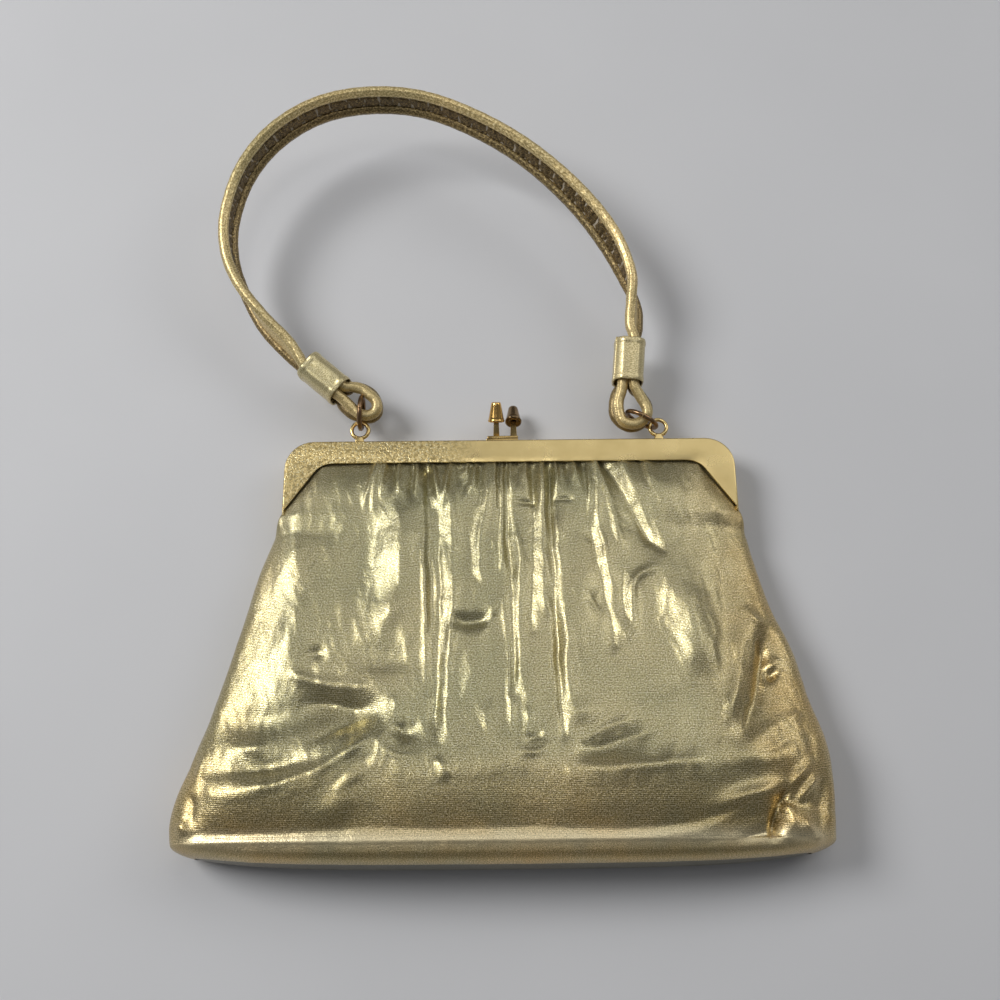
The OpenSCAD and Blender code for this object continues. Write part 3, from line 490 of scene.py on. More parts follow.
def kiss_knob(node, name, x, z, lean, body, finish):
    bm = bmesh.new()
    rail = [bm.verts.new((r * mm, h * mm, 0)) for r, h in knob_outline]
    edges = [bm.edges.new(pair) for pair in zip(rail, rail[1:])]
    bmesh.ops.spin(bm, geom=rail + edges, cent=(0, 0, 0), axis=(0, 1, 0), dvec=(0, 0, 0), angle=math.tau,
                   steps=48, use_merge=True, use_duplicate=False)
    bmesh.ops.remove_doubles(bm, verts=bm.verts, dist=1e-6)
    seat = leaning(x, z, lean) @ Matrix.Translation((0, knob_seat * mm, 0))
    bmesh.ops.transform(bm, matrix=seat, verts=bm.verts)
    piece(name, bm, finish, body, [node], crease=60)

front_clasp, rear_clasp = (1.8, 12.0, -20), (-5.2, 5.2, 28)     # each stem's x, z and lean in degrees
clasp_strip("front_clasp_arm", "front_clasp_strip", *front_clasp, 1, "front_half")
clasp_strip("rear_clasp_arm", "rear_clasp_strip", *rear_clasp, -1, "pouch")
# the front knob's darker gilt is painted shade
kiss_knob("front_clasp_knob", "front_kiss_knob", *front_clasp, "front_half", knob_gilt_painted_shade)
kiss_knob("rear_clasp_knob", "rear_kiss_knob", *rear_clasp, "pouch", knob_amber)
print("clasp parts:", 4)

# %% [markdown]
# ## Plane of the handle
# The handle lies back over the table at a small tilt, so its parts are placed in a tilted plane: right, up
# the handle, and out of the plane. One function turns such a place into a place on the purse.

# %% Handle's plane
tilt = math.radians(9)
eye_x, eye_y, eye_z = 60.5, 36.9, 12.0

def on_handle(u, v, h=0.0):
    """A point of the handle's tilted plane, in mm: u right, v up the handle, h out of the plane."""
    return Vector((u, eye_y + v * math.cos(tilt) - h * math.sin(tilt),
                   eye_z + v * math.sin(tilt) + h * math.cos(tilt)))

plane_out = Vector((0, -math.sin(tilt), math.cos(tilt)))

def plane_way(degrees):
    a = math.radians(degrees)
    return on_handle(math.cos(a), math.sin(a)) - on_handle(0, 0)

print("handle's tilt in degrees:", round(math.degrees(tilt)))

# %% [markdown]
# ## Eyes and jump rings
# Round wire is a circle spun about an axis beside it. An eye is a closed ring on a small foot, and a jump
# ring stops just short of a full turn, because its ends are only butted together.

# %% Eyes and rings
eye_r, eye_wire = 3.4, 0.8
foot_size, foot_taper, foot_middle = (4.3, 2.9, 2.3), 0.55, 1.44
ring_r, ring_wire, ring_turn = 6.5, 0.95, 357.0
# each jump ring's middle in the handle's plane in mm, and the way it lies in degrees
ring_spots = {"left": ((-60.113, 7.390), 87), "right": ((53.966, 3.474), 152)}

def wire_ring(bm, radius, wire, degrees=360.0, steps=72):
    """Wire ring round z at the origin, in mm."""
    circle = bmesh.ops.create_circle(bm, cap_ends=degrees < 360, segments=16, radius=wire * mm)["verts"]
    bmesh.ops.rotate(bm, cent=(0, 0, 0), matrix=Matrix.Rotation(math.pi / 2, 3, "X"), verts=circle)
    bmesh.ops.translate(bm, vec=(radius * mm, 0, 0), verts=circle)
    edges, faces = {e for v in circle for e in v.link_edges}, {f for v in circle for f in v.link_faces}
    bmesh.ops.spin(bm, geom=circle + list(edges) + list(faces), cent=(0, 0, 0), axis=(0, 0, 1),
                   dvec=(0, 0, 0), angle=math.radians(degrees), steps=steps, use_merge=degrees >= 360,
                   use_duplicate=False)
    bmesh.ops.remove_doubles(bm, verts=bm.verts, dist=1e-6)

for side, word in ((-1, "left"), (1, "right")):
    bm = bmesh.new()
    wire_ring(bm, eye_r, eye_wire)
    bmesh.ops.translate(bm, vec=Vector((side * eye_x, eye_y, eye_z)) * mm, verts=bm.verts)
    foot = bmesh.ops.create_cube(bm, size=1)["verts"]
    for v in foot:
        if v.co.y > 0:
            v.co.x *= foot_taper
    bmesh.ops.scale(bm, vec=Vector(foot_size) * mm, verts=foot)
    bmesh.ops.translate(bm, vec=Vector((side * eye_x, top + foot_middle, eye_z)) * mm, verts=foot)
    corners = [e for v in foot for e in v.link_edges if e.calc_face_angle(0) > 0.6]
    round_edges(bm, list(set(corners)), 0.4 * mm, 3)
    piece(f"eye_{word}", bm, eye_gilt, "front_half", [f"handle_eye_{word}"])

for word, (spot, way) in ring_spots.items():
    bm = bmesh.new()
    wire_ring(bm, ring_r, ring_wire, ring_turn)
    x_way, z_way = plane_way(way), plane_way(way).cross(plane_out)
    axes = Matrix((x_way, z_way.cross(x_way), z_way)).transposed().to_4x4()
    placed = Matrix.Translation(on_handle(*spot) * mm) @ axes @ Matrix.Rotation(math.pi / 2, 4, "Z")
    bmesh.ops.transform(bm, verts=bm.verts, matrix=placed)
    piece(f"jump_ring_{word}", bm, ring_bronze, f"{word}_ring", [f"ring_{word}"])
print("eyes and rings:", 4)

# %% [markdown]
# ## Strap: its route
# The strap stands on edge and is one long band: out of the left sleeve, through the left ring and back, over
# the bow, down into the right sleeve, through the right ring and back. Its middle line is the same list of
# points as in the CAD source: place in the handle's plane, twist in degrees, and width. Beside the rings it
# is turned a little more than there, so that its stitched face shows as in the photograph.

# %% Strap route
bow_high, loop_twist = 146, -16
left_way, right_way = 139.5, 85  # degrees at which each sleeve points up the strap

def up_sleeve(at, way, along, aside, twist, width):
    c, s = math.cos(math.radians(way)), math.sin(math.radians(way))
    return (at[0] + along * c + aside * s, at[1] + along * s - aside * c, twist, width)

def by_ring(at, u, v, width, twist=0):
    return (at[0] + ring_r * u, at[1] + ring_r * v, twist, width)

def on_bow(u, v, twist, width):
    return (eye_x * u, bow_high * v, twist, width)

left_at, right_at = ring_spots["left"][0], ring_spots["right"][0]
mouth_left = (left_at[0] - 1.29 * ring_r, left_at[1] + 1.37 * ring_r)
mouth_right = (right_at[0] - 0.825 * ring_r, right_at[1] + 2.325 * ring_r)
route = [
    up_sleeve(mouth_left, left_way, 15, 2.2, 0, 11.2), up_sleeve(mouth_left, left_way, 7, 2.2, 0, 11.2),
    up_sleeve(mouth_left, left_way, 0, 2.2, 0, 10.2),
    by_ring(left_at, -0.52, 1.69, 9, loop_twist), by_ring(left_at, 0.08, 1.54, 8.4, loop_twist),
    by_ring(left_at, 0.63, 1.14, 8.4, loop_twist), by_ring(left_at, 0.97, 0.585, 8.4),
    by_ring(left_at, 0.94, 0.03, 8.4), by_ring(left_at, 0.51, -0.245, 8.4),
    by_ring(left_at, -0.015, -0.185, 8.4), by_ring(left_at, -0.535, 0.095, 8.4, loop_twist),
    by_ring(left_at, -1.06, 0.585, 9, loop_twist),
    up_sleeve(mouth_left, left_way, 0, -2.2, 0, 10.2), up_sleeve(mouth_left, left_way, 9, -2.2, 0, 11.2),
    up_sleeve(mouth_left, left_way, 18, -1.8, -5, 11.2),
    on_bow(-1.505, 0.245, -25, 12.4), on_bow(-1.67, 0.32, -18, 13), on_bow(-1.825, 0.42, 2, 13),
    on_bow(-1.915, 0.52, 10, 13), on_bow(-1.925, 0.635, 14, 13), on_bow(-1.825, 0.775, 16, 13),
    on_bow(-1.62, 0.89, 18, 13), on_bow(-1.32, 0.97, 18, 13), on_bow(-0.96, 1, 18, 13),
    on_bow(-0.58, 0.985, 18, 13), on_bow(-0.2, 0.92, 20, 13), on_bow(0.15, 0.825, 24, 13),
    on_bow(0.465, 0.7, 30, 13), on_bow(0.695, 0.57, 32, 13), on_bow(0.825, 0.45, 14, 13),
    on_bow(0.865, 0.365, -18, 13), on_bow(0.86, 0.295, -26, 12.2),
    up_sleeve(mouth_right, right_way, 18, 1.8, -5, 11.2), up_sleeve(mouth_right, right_way, 9, 2.2, 0, 11.2),
    up_sleeve(mouth_right, right_way, 0, 2.2, 0, 10.2),
    by_ring(right_at, -0.055, 1.56, 9, loop_twist), by_ring(right_at, 0.31, 0.88, 8.4, loop_twist),
    by_ring(right_at, 0.31, 0.295, 8.4), by_ring(right_at, -0.055, -0.225, 8.4),
    by_ring(right_at, -0.64, -0.395, 8.4), by_ring(right_at, -1.225, -0.165, 8.4),
    by_ring(right_at, -1.535, 0.39, 8.4, loop_twist), by_ring(right_at, -1.565, 1.065, 8.4, loop_twist),
    by_ring(right_at, -1.38, 1.745, 9, loop_twist),
    up_sleeve(mouth_right, right_way, 0, -2.2, 0, 10.2), up_sleeve(mouth_right, right_way, 7, -2.2, 0, 11.2),
    up_sleeve(mouth_right, right_way, 15, -2.2, 0, 11.2)]

def smooth_route(points, steps):
    """Catmull-Rom line through the points, with so many steps between two of them."""
    p = np.array(points)
    p = np.vstack([p[:1], p, p[-1:]])
    t = (np.arange(steps) / steps)[:, None]
    spans = [0.5 * (2 * b + (c - a) * t + (2 * a - 5 * b + 4 * c - d) * t * t
                    + (3 * b - a - 3 * c + d) * t ** 3) for a, b, c, d in zip(p, p[1:], p[2:], p[3:])]
    return np.vstack(spans + [p[-1:]])

line = smooth_route(route, 8)
ways = np.gradient(line[:, :2], axis=0)
angles = np.degrees(np.arctan2(ways[:, 1], ways[:, 0]))
centre = np.array([on_handle(u, v) for u, v in line[:, :2]])
along = np.array([plane_way(a) for a in angles])
out = np.array([plane_way(a + 90) for a in angles])
twist = np.radians(line[:, 2])[:, None]
across = np.cos(twist) * np.array(plane_out) + np.sin(twist) * out
through = np.cross(across, along)
half_strap = line[:, 3] / 2
run = np.concatenate([[0], np.cumsum(np.linalg.norm(np.diff(centre, axis=0), axis=1))])
print("strap length, mm:", round(run[-1]), "stations:", len(line))

# %% [markdown]
# ## Cloth from a grid
# Every cloth part starts as a flat grid whose points are then moved into place by a formula, as a sculptor
# would push them. The grid's map is stretched to the cloth's real size, so weave and stitches keep their
# scale. A cloth simulation would also drape it, but it wouldn't give this purse's own folds.

# %% Grid helper
def cloth_grid(columns, rows, shape, size, close=False):
    """Grid moved by shape(s, t) -> points in mm, s and t running 0 to 1; size is its flat size in metres."""
    bm = bmesh.new()
    bm.loops.layers.uv.new("flat")
    bmesh.ops.create_grid(bm, x_segments=columns, y_segments=rows, size=0.5, calc_uvs=True)
    verts = list(bm.verts)
    st = np.array([v.co.xy for v in verts]) + 0.5
    for v, place in zip(verts, shape(st[:, 0], st[:, 1]) * mm):
        v.co = place
    layer = bm.loops.layers.uv.active
    for face in bm.faces:
        for loop in face.loops:
            u, v = loop[layer].uv
            loop[layer].uv = (u * size[0], v * size[1])
    if close:
        bmesh.ops.remove_doubles(bm, verts=bm.verts, dist=2e-6)
    return bm

def cloth_tube(columns, rows, shape, size):
    """Closed tube: the grid's two sides meet, and its ends are filled."""
    bm = cloth_grid(columns, rows, shape, size, close=True)
    bmesh.ops.holes_fill(bm, edges=[e for e in bm.edges if e.is_boundary], sides=0)
    return bm

def wobble(a, b, seed):
    """Small smooth unevenness between -1 and 1, made of a few waves."""
    return (np.sin(a * 1.0 + b * 0.6 + seed) + np.sin(a * 2.3 - b * 1.1 + seed * 2.1) * 0.6
            + np.sin(a * 4.7 + b * 2.3 + seed * 3.7) * 0.35) / 1.95

# %% [markdown]
# ## Places along the strap
# Every part of the strap follows the same middle line, so each is drawn as a distance across the strap's
# width and through its thickness, from a place along its length. Rows between two stations are read by
# blending, which keeps the long bands smooth.

# %% Places along the strap
strap_len = run[-1] * mm
rows = len(line) - 1

def station(t):
    """Row of the strap for each t, 0 to 1 along its length, and how far it is to the next one."""
    f = t * rows
    i = np.clip(f.astype(int), 0, rows - 1)
    return i, f - i

def at_station(values, t):
    """A value of the strap's rows, read between them."""
    i, f = station(t)
    f = f[:, None] if values.ndim > 1 else f
    return values[i] * (1 - f) + values[i + 1] * f

def along_strap(t, across_by, through_by):
    """Points beside the strap's middle line, in mm across its width and through its thickness."""
    return (at_station(centre, t) + across_by[:, None] * at_station(across, t)
            + through_by[:, None] * at_station(through, t))

print("rows along the strap:", rows)

# %% [markdown]
# ## Strap: bands and corded edges
# The cloth is folded over a cord along both edges and stitched beside it, which leaves a round roll, a
# groove, and the flat band. The roll is a closed tube, a little uneven as filled cloth is. The inner face is
# crinkled, because it is on the short side of the bend, and its darker colour is painted shade; the back
# roll's darker colour is painted shade too.

# %% Strap parts
roll_r, roll_inset, stitch_pitch = 2.2, 1.7, 1.9
# the groove's place is its turn in radians from the roll's outermost line
groove_deep, groove_turn, groove_wide = 0.42, 0.95, 0.16
band_inset, band_edge_sunk = 2.5, 0.75
seam_inset, seam_wide, seam_deep = 1.5, 0.35, 0.28

def corded_edge(side):
    def shape(s, t):
        a = s * math.tau
        length = at_station(run, t)
        stitch = 0.6 + 0.4 * np.cos(length * math.tau / stitch_pitch) ** 2
        off = np.abs(np.angle(np.exp(1j * (a - (0 if side > 0 else math.pi)))))
        groove = groove_deep * stitch * np.exp(-((off - groove_turn) / groove_wide) ** 2)
        r = roll_r + 0.07 * wobble(length * 0.9, 1.5 * np.cos(a) + side, side) - groove
        return along_strap(t, side * (at_station(half_strap, t) - roll_inset) + r * np.cos(a), r * np.sin(a))
    return shape

def band(depth, sign, bulge, crinkle):
    """One face of the strap: a sheet between the rolls, folded at its edges into their grooves."""
    def shape(s, t):
        e = s * 2 - 1
        length = at_station(run, t)
        wide = at_station(half_strap, t) - band_inset
        puff = 1 - np.abs(e) ** 4
        stitched = np.exp(-((np.abs(e) * wide - (wide - seam_inset)) / seam_wide) ** 2)
        depth_at = depth - band_edge_sunk + (bulge + band_edge_sunk) * puff - seam_deep * stitched
        depth_at = depth_at + crinkle * puff * wobble(length * 0.9, e * 2.0, 2)
        depth_at = depth_at + crinkle * puff * wobble(length * 2.3, e * 4.0, 5) * 0.6
        return along_strap(t, e * wide, sign * depth_at)
    return shape

# the back roll's darker finish is painted shade
for side, word, finish in ((1, "front", strap_lame), (-1, "back", back_lame_painted_shade)):
    bm = cloth_tube(28, rows * 4, corded_edge(side), (0.0099, strap_len))
    piece(f"strap_roll_{word}", bm, finish, "handle", [f"strap_piping_{word}"])
outer = cloth_grid(18, rows * 2, band(0.85, 1, 0.15, 0.10), (0.011, strap_len))
piece("strap_outer_face", outer, strap_lame, "handle", ["strap_outer_band"], recalc=False)
# the inner face: its darker finish is painted shade
inner = cloth_grid(18, rows * 4, band(0.75, -1, 0.1, 0.6), (0.011, strap_len))
piece("strap_inner_face", inner, inner_lame_painted_shade, "handle", ["strap_inner_band"], recalc=False)
print("strap parts:", 4)

# %% [markdown]
# ## Strap: its stiffener
# The card between the bands only shows as an edge at the strap's two ends, inside the sleeves. It is a flat
# tube with rounded edges, and the same grey card makes the board in the base and the paper cords.

# %% Strap stiffener
grey_card, tree, shader = material("grey card", Roughness=0.85)
place = add(tree, "TexCoord", {}).outputs["Object"]
pulp = ramp(tree, noise(tree, place, 900, 3.0), (0.35, (0.42, 0.36, 0.27)), (0.65, (0.56, 0.49, 0.38)))
tree.links.new(pulp, shader.inputs["Base Color"])
bumped(tree, shader, strength=0.3, distance=0.0001, height=noise(tree, place, 1600, 2.0))
card_inset, card_half_thick = 3.4, 0.42

def stiffener(s, t):
    a = s * math.tau
    wide = at_station(half_strap, t) - card_inset
    x, z = np.clip(1.3 * np.cos(a), -1, 1), np.clip(1.6 * np.sin(a), -1, 1)
    return along_strap(t, wide * x, card_half_thick * z)

bm = cloth_tube(12, rows, stiffener, (0.014, strap_len))
piece("strap_stiffener", bm, grey_card, "handle", ["strap_core"])
print("stiffener rows:", rows)

# %% [markdown]
# ## Sleeves
# A short strip of the same cloth is wrapped once round both plies of the strap and glued where it overlaps.
# Its long edges are folded in, which leaves a raised hem at both ends. Here the strip is a grid wound a
# little more than one turn, so that its last part lies on its first, and Solidify gives it its thickness.

# %% Sleeves
sleeve_long, sleeve_turn, sleeve_wall = 18, math.radians(368), 0.0007
half_across, half_through = 6.15, 6.95
hem_at, hem_wide, flap_from = 0.07, 0.055, 0.955
ply_at, ply_wide = 2.5, 1.3

def sleeve(name, node, mouth, way, start, flap):
    """start is where the strip's first edge lies, in degrees, and flap how far its last edge stands off."""
    x_way, z_way = plane_way(way - 90), plane_way(way)
    axes = np.array([x_way, z_way.cross(x_way), z_way])
    foot = np.array(on_handle(*mouth))

    def shape(s, t):
        a = math.radians(start) + s * sleeve_turn
        c, d = np.cos(a), np.sin(a)
        x = np.sign(c) * np.abs(c) ** 0.66 * half_across
        y = np.sign(d) * np.abs(d) ** 0.62 * half_through
        hem = np.exp(-((t - hem_at) / hem_wide) ** 4) + np.exp(-((t - 1 + hem_at) / hem_wide) ** 4)
        plies = np.exp(-((x - ply_at) / ply_wide) ** 2) + np.exp(-((x + ply_at) / ply_wide) ** 2)
        last = np.clip((s - flap_from) / (1 - flap_from), 0, 1)
        grow = 0.26 * hem + 0.12 * np.sin(math.pi * t) + 0.02 * wobble(t * 7, s * 11, start)
        grow = grow + 0.42 * plies * (np.abs(d) > 0.4) + flap * last ** 2
        n = np.hypot(x / half_across, y / half_through)
        x, y = x * (1 + grow / half_across / n), y * (1 + grow / half_through / n)
        z = sleeve_long * t + 0.35 * last * np.sign(t - 0.5) * (np.abs(t - 0.5) > 0.45)
        return foot + np.stack([x, y, z], 1) @ axes

    bm = cloth_grid(96, 40, shape, (0.048, sleeve_long * mm))
    made = piece(name, bm, sleeve_lame, "handle", [node], recalc=False)
    thickened(made, sleeve_wall, -1)

sleeve("sleeve_wrap_left", "sleeve_left", mouth_left, left_way, 20, 0.9)
sleeve("sleeve_wrap_right", "sleeve_right", mouth_right, right_way, 200, 0.35)
print("sleeves:", 2)

# %% [markdown]
# ## Pouch: its overall form
# The pouch is a lofted shell: an outline of half widths and crown heights down its length, and one rounded
# section between the left foot, the crown and the right foot. The tables are the CAD's. A smooth curve runs
# through them, because shiny cloth shows every kink.

# %% Pouch form
def curve(points):
    """Smooth curve through (place, value) points."""
    xs, ys = np.array(sorted(points), float).T
    slopes = np.gradient(ys, xs)

    def value(x):
        x = np.clip(x, xs[0], xs[-1])
        i = np.clip(np.searchsorted(xs, x) - 1, 0, len(xs) - 2)
        h = xs[i + 1] - xs[i]
        t = (x - xs[i]) / h
        return ((2 * t**3 - 3 * t**2 + 1) * ys[i] + (t**3 - 2 * t**2 + t) * h * slopes[i]
                + (3 * t**2 - 2 * t**3) * ys[i + 1] + (t**3 - t**2) * h * slopes[i + 1])
    return value

left_w = curve([(-127.4, 123), (-122.3, 124), (-98.1, 118), (-70.1, 109.5), (-44.6, 103), (-19.1, 96.5),
                (-9, 93), (-4, 91.8), (0, 90.2), (3, 88.4), (30, 88)])
right_w = curve([(-127.4, 115), (-107, 116), (-90.5, 114.5), (-73.9, 110), (-56.1, 106), (-39.5, 99.5),
                 (-19.1, 94.5), (-9, 92.6), (-4, 91.8), (0, 90.2), (3, 88.4), (30, 88)])
crown = curve([(-127.4, 33), (-114.7, 32.4), (-95.6, 30), (-70.1, 27.5), (-44.6, 25), (-20.4, 22.2),
               (-8, 20.2), (0, 19.2), (10, 18.2), (22, 17.2), (30, 17)])
foot_low = 1.2
foot_z = curve([(-127.4, foot_low), (-60, foot_low), (-16, foot_low), (-12, foot_low), (-8, 1.6), (-4, 8),
                (-1.5, 12.4), (1, 13.2), (30, 13.2)])
waist, tuck = 0.3, 4.0                  # height of the widest line as a share, and the foot's turn inwards
side_share, side_power, top_power = 0.1, 0.66, 0.5

def section(s, y, inset, foot=None):
    """Point of the section at y: s goes from 0 at the left foot to 1 at the right foot."""
    foot = foot_z(y) + inset if foot is None else foot
    w = np.where(s < 0.5, left_w(y), right_w(y)) - inset
    h = crown(y) - inset
    middle = foot + waist * (h - foot)
    side = np.where(s < 0.5, -1, 1)
    low = np.minimum(s, 1 - s) / side_share
    a = math.pi * np.clip((s - side_share) / (1 - 2 * side_share), 0, 1)
    x_up = -w * np.sign(np.cos(a)) * np.abs(np.cos(a)) ** side_power
    z_up = middle + (h - middle) * np.sin(a).clip(0, 1) ** top_power
    tuck_here = tuck * np.clip((-y - 2) / 8, 0, 1)
    x_low, z_low = side * (w - tuck_here * (1 - low) ** 2), foot + (middle - foot) * low
    return np.where(low < 1, x_low, x_up), np.where(low < 1, z_low, z_up)

def even(s, y=-60.0):
    """s for evenly spaced columns, measured along the section at y."""
    dense = np.linspace(0, 1, 4001)
    x, z = section(dense, np.full_like(dense, y), 0.0)
    length = np.concatenate([[0], np.cumsum(np.hypot(np.diff(x), np.diff(z)))])
    return np.interp(s, length / length[-1], dense)

half_way = [round(float(v), 1) for v in section(np.array([0.5]), np.array([-60.0]), 0.0)]
print("section at the middle, mm:", half_way)

# %% [markdown]
# ## Pouch: its rounded end and its mouth
# The base stands out below the rim, most in the middle, and its rim is round, so the end's depth is read from
# a curve. The front cloth, the base and the lining all use it, so that they meet. At the other end the cloth
# stops under the frame, along the edge of the frame's window.

# %% Pouch's rounded end and mouth
end_y, end_out, end_out_less = -125.2, 9.4, 0.34
# how far the end reaches out, by the square root of the depth below its top, so that its rim starts level
reach_at = curve([(0, 0), (0.09, 0.175), (0.17, 0.34), (0.25, 0.51), (0.35, 0.68), (0.45, 0.8), (0.63, 0.93),
                  (0.77, 1.0), (0.89, 0.98), (0.96, 0.88), (1.0, 0.74)])

def end_place(x, z):
    """y of the pouch's rounded end at x and height z: it reaches out most in the middle of the base."""
    at_end = np.full_like(x, end_y)
    w, h = np.where(x < 0, left_w(at_end), right_w(at_end)), crown(at_end)
    middle = foot_low + waist * (h - foot_low)
    u = np.clip(np.abs(x) / w, 0, 1)
    high = middle + (h - middle) * (1 - u ** (2 / side_power)) ** (top_power / 2)
    low = np.clip((z - foot_low) / (middle - foot_low), 0, 1)
    side = np.clip(np.abs(x) / (w - tuck * (1 - low) ** 2), 0, 1)
    reach = end_out * (1 - end_out_less * u ** 3) * (1 - side ** 7) ** 0.4
    return end_y - reach * reach_at(np.sqrt(1 - np.clip(z / high, 0, 1)))

# the frame's window: lower edge of its bar, where the bar ends, and how fast the arms run out from there
bar_low, gusset, arm_slope, window_low = 21.5, 75.4, 19.5 / 13.8, 1.5

def mouth_line(x, over):
    """Edge of the frame's window at x, moved out under the metal by over."""
    side = bar_low - (np.abs(x) - gusset) * arm_slope
    return np.maximum(np.minimum(bar_low + over * 2, side + over * 1.7), window_low)

print("the end reaches out, mm:", end_out)

# %% [markdown]
# ## Pouch: folds
# Nothing gives cloth away like its folds, so each one in the photograph is set down one by one: a line of
# points in mm on the cloth as seen from the front, with a depth or height and a half width. Creases are sharp
# at the bottom and folds round on top, and hills are broad soft bulges, or hollows below zero. All are added
# along the cloth's own outward direction. Sculpting by brush would do it too, but a list of lines can be read
# and changed.

# %% Creases
creases = [  # depth, half width and line of each crease between two folds
    (1.5, 2.2, [(-33.5, 30), (-32.5, 14), (-31.5, 0), (-31, -18), (-30, -40), (-29, -62), (-28.5, -80),
                (-28.5, -96)]),
    (1.2, 1.5, [(-27.5, 4), (-28, -10), (-27.5, -30), (-27, -55), (-27.5, -78), (-28, -90)]),
    (0.9, 1.3, [(-46, 30), (-46.5, 14), (-45, 5)]),
    (1.2, 1.5, [(-39, 30), (-38.5, 14), (-38.5, 4), (-37, -1)]),
    (0.8, 1.1, [(-12, 30), (-15.5, 18), (-17.5, 10), (-19.5, 3)]),
    (0.7, 1.1, [(-10.5, 30), (-11.5, 14), (-12, 5), (-14, 0)]),
    (0.6, 1.0, [(-20.5, 30), (-20, 14), (-20.5, 6)]),
    (1.7, 1.8, [(-1.5, 30), (-1.5, 8), (-1, -8), (-0.5, -28), (0, -45), (0.5, -62), (0.5, -80)]),
    (0.8, 0.8, [(-4.4, 30), (-4.4, 8), (-4.6, -12), (-5.4, -28), (-5, -34)]),
    (0.9, 1.2, [(3.5, 30), (3.2, 14), (3.5, 7)]),
    (1.3, 1.7, [(9, 30), (9, 6), (9, -10), (8, -26), (7, -44), (6.5, -58)]),
    (1.9, 1.5, [(15.5, 30), (15.5, 0), (16, -20), (16, -45), (16.8, -60), (17.6, -76), (17.4, -90),
                (15.4, -97)]),
    (0.7, 1.1, [(22.5, 30), (22.5, 14), (22, 7)]),
    (0.8, 1.1, [(28, 30), (29, 14), (29.5, 4), (28.5, -4)]),
    (1.5, 2.2, [(31, 0), (31.5, -12), (33, -24), (35, -34), (36.5, -46), (37, -54), (34.5, -61)]),
    (2.4, 3.2, [(35, 30), (38.5, 19), (42.5, 11), (46, 3), (50, -6), (54, -13.5), (59, -19), (64, -22)]),
    (1.2, 1.6, [(43.5, -19), (42.5, -28), (41.8, -38), (41.4, -50)]),
    (0.7, 1.4, [(51.5, 30), (52.5, 14), (56, 4)]),
    (0.9, 1.1, [(1, 3.4), (6, 3), (12, 3.2)]),
    (0.7, 1.1, [(15, 3.6), (20, 4.4), (26, 4)]),
    (1.3, 3.4, [(-23, -43), (-18, -46.5), (-12, -46), (-7, -41)]),
    (1.2, 5.0, [(80, 6), (81, -20), (80.5, -44), (79.5, -62), (76.5, -76)]),
    (4.2, 3.2, [(95, -46), (93.5, -58), (90.5, -70), (87, -80), (83, -89), (79.5, -97)]),
    (1.2, 2.2, [(104, -87), (99, -91), (92, -95.5), (85, -99)]),
    (3.6, 2.0, [(103, -104), (98, -109), (94.6, -114), (92, -119), (90.6, -125), (90, -131)]),
    (1.1, 0.9, [(104.5, -103), (101, -106), (97.5, -111), (96.6, -115)]),
    (2.8, 5.0, [(-84, -76), (-66, -77), (-56, -78.5), (-45, -78)]),
    (1.5, 3.6, [(-48, -82), (-58, -84), (-70, -90), (-80, -92)]),
    (1.1, 2.4, [(-47, -94), (-53, -99), (-60, -104), (-68, -109)]),
    (0.9, 2.6, [(-36, -91), (-40, -88), (-41, -84)]),
    (1.3, 3.2, [(19, -97), (26, -95.5), (34, -93.5), (44, -90), (56, -85)]),
    (0.8, 1.8, [(3, -92), (7, -91), (11, -88)]),
    (1.0, 1.4, [(-113, -108), (-113.5, -114), (-114.5, -121)]),
]
print("creases:", len(creases))

# %% [markdown]
# ## Pouch: rounded folds
# Between the creases stand soft round folds. They hold the light along their left sides, because the
# strongest lamp is there.

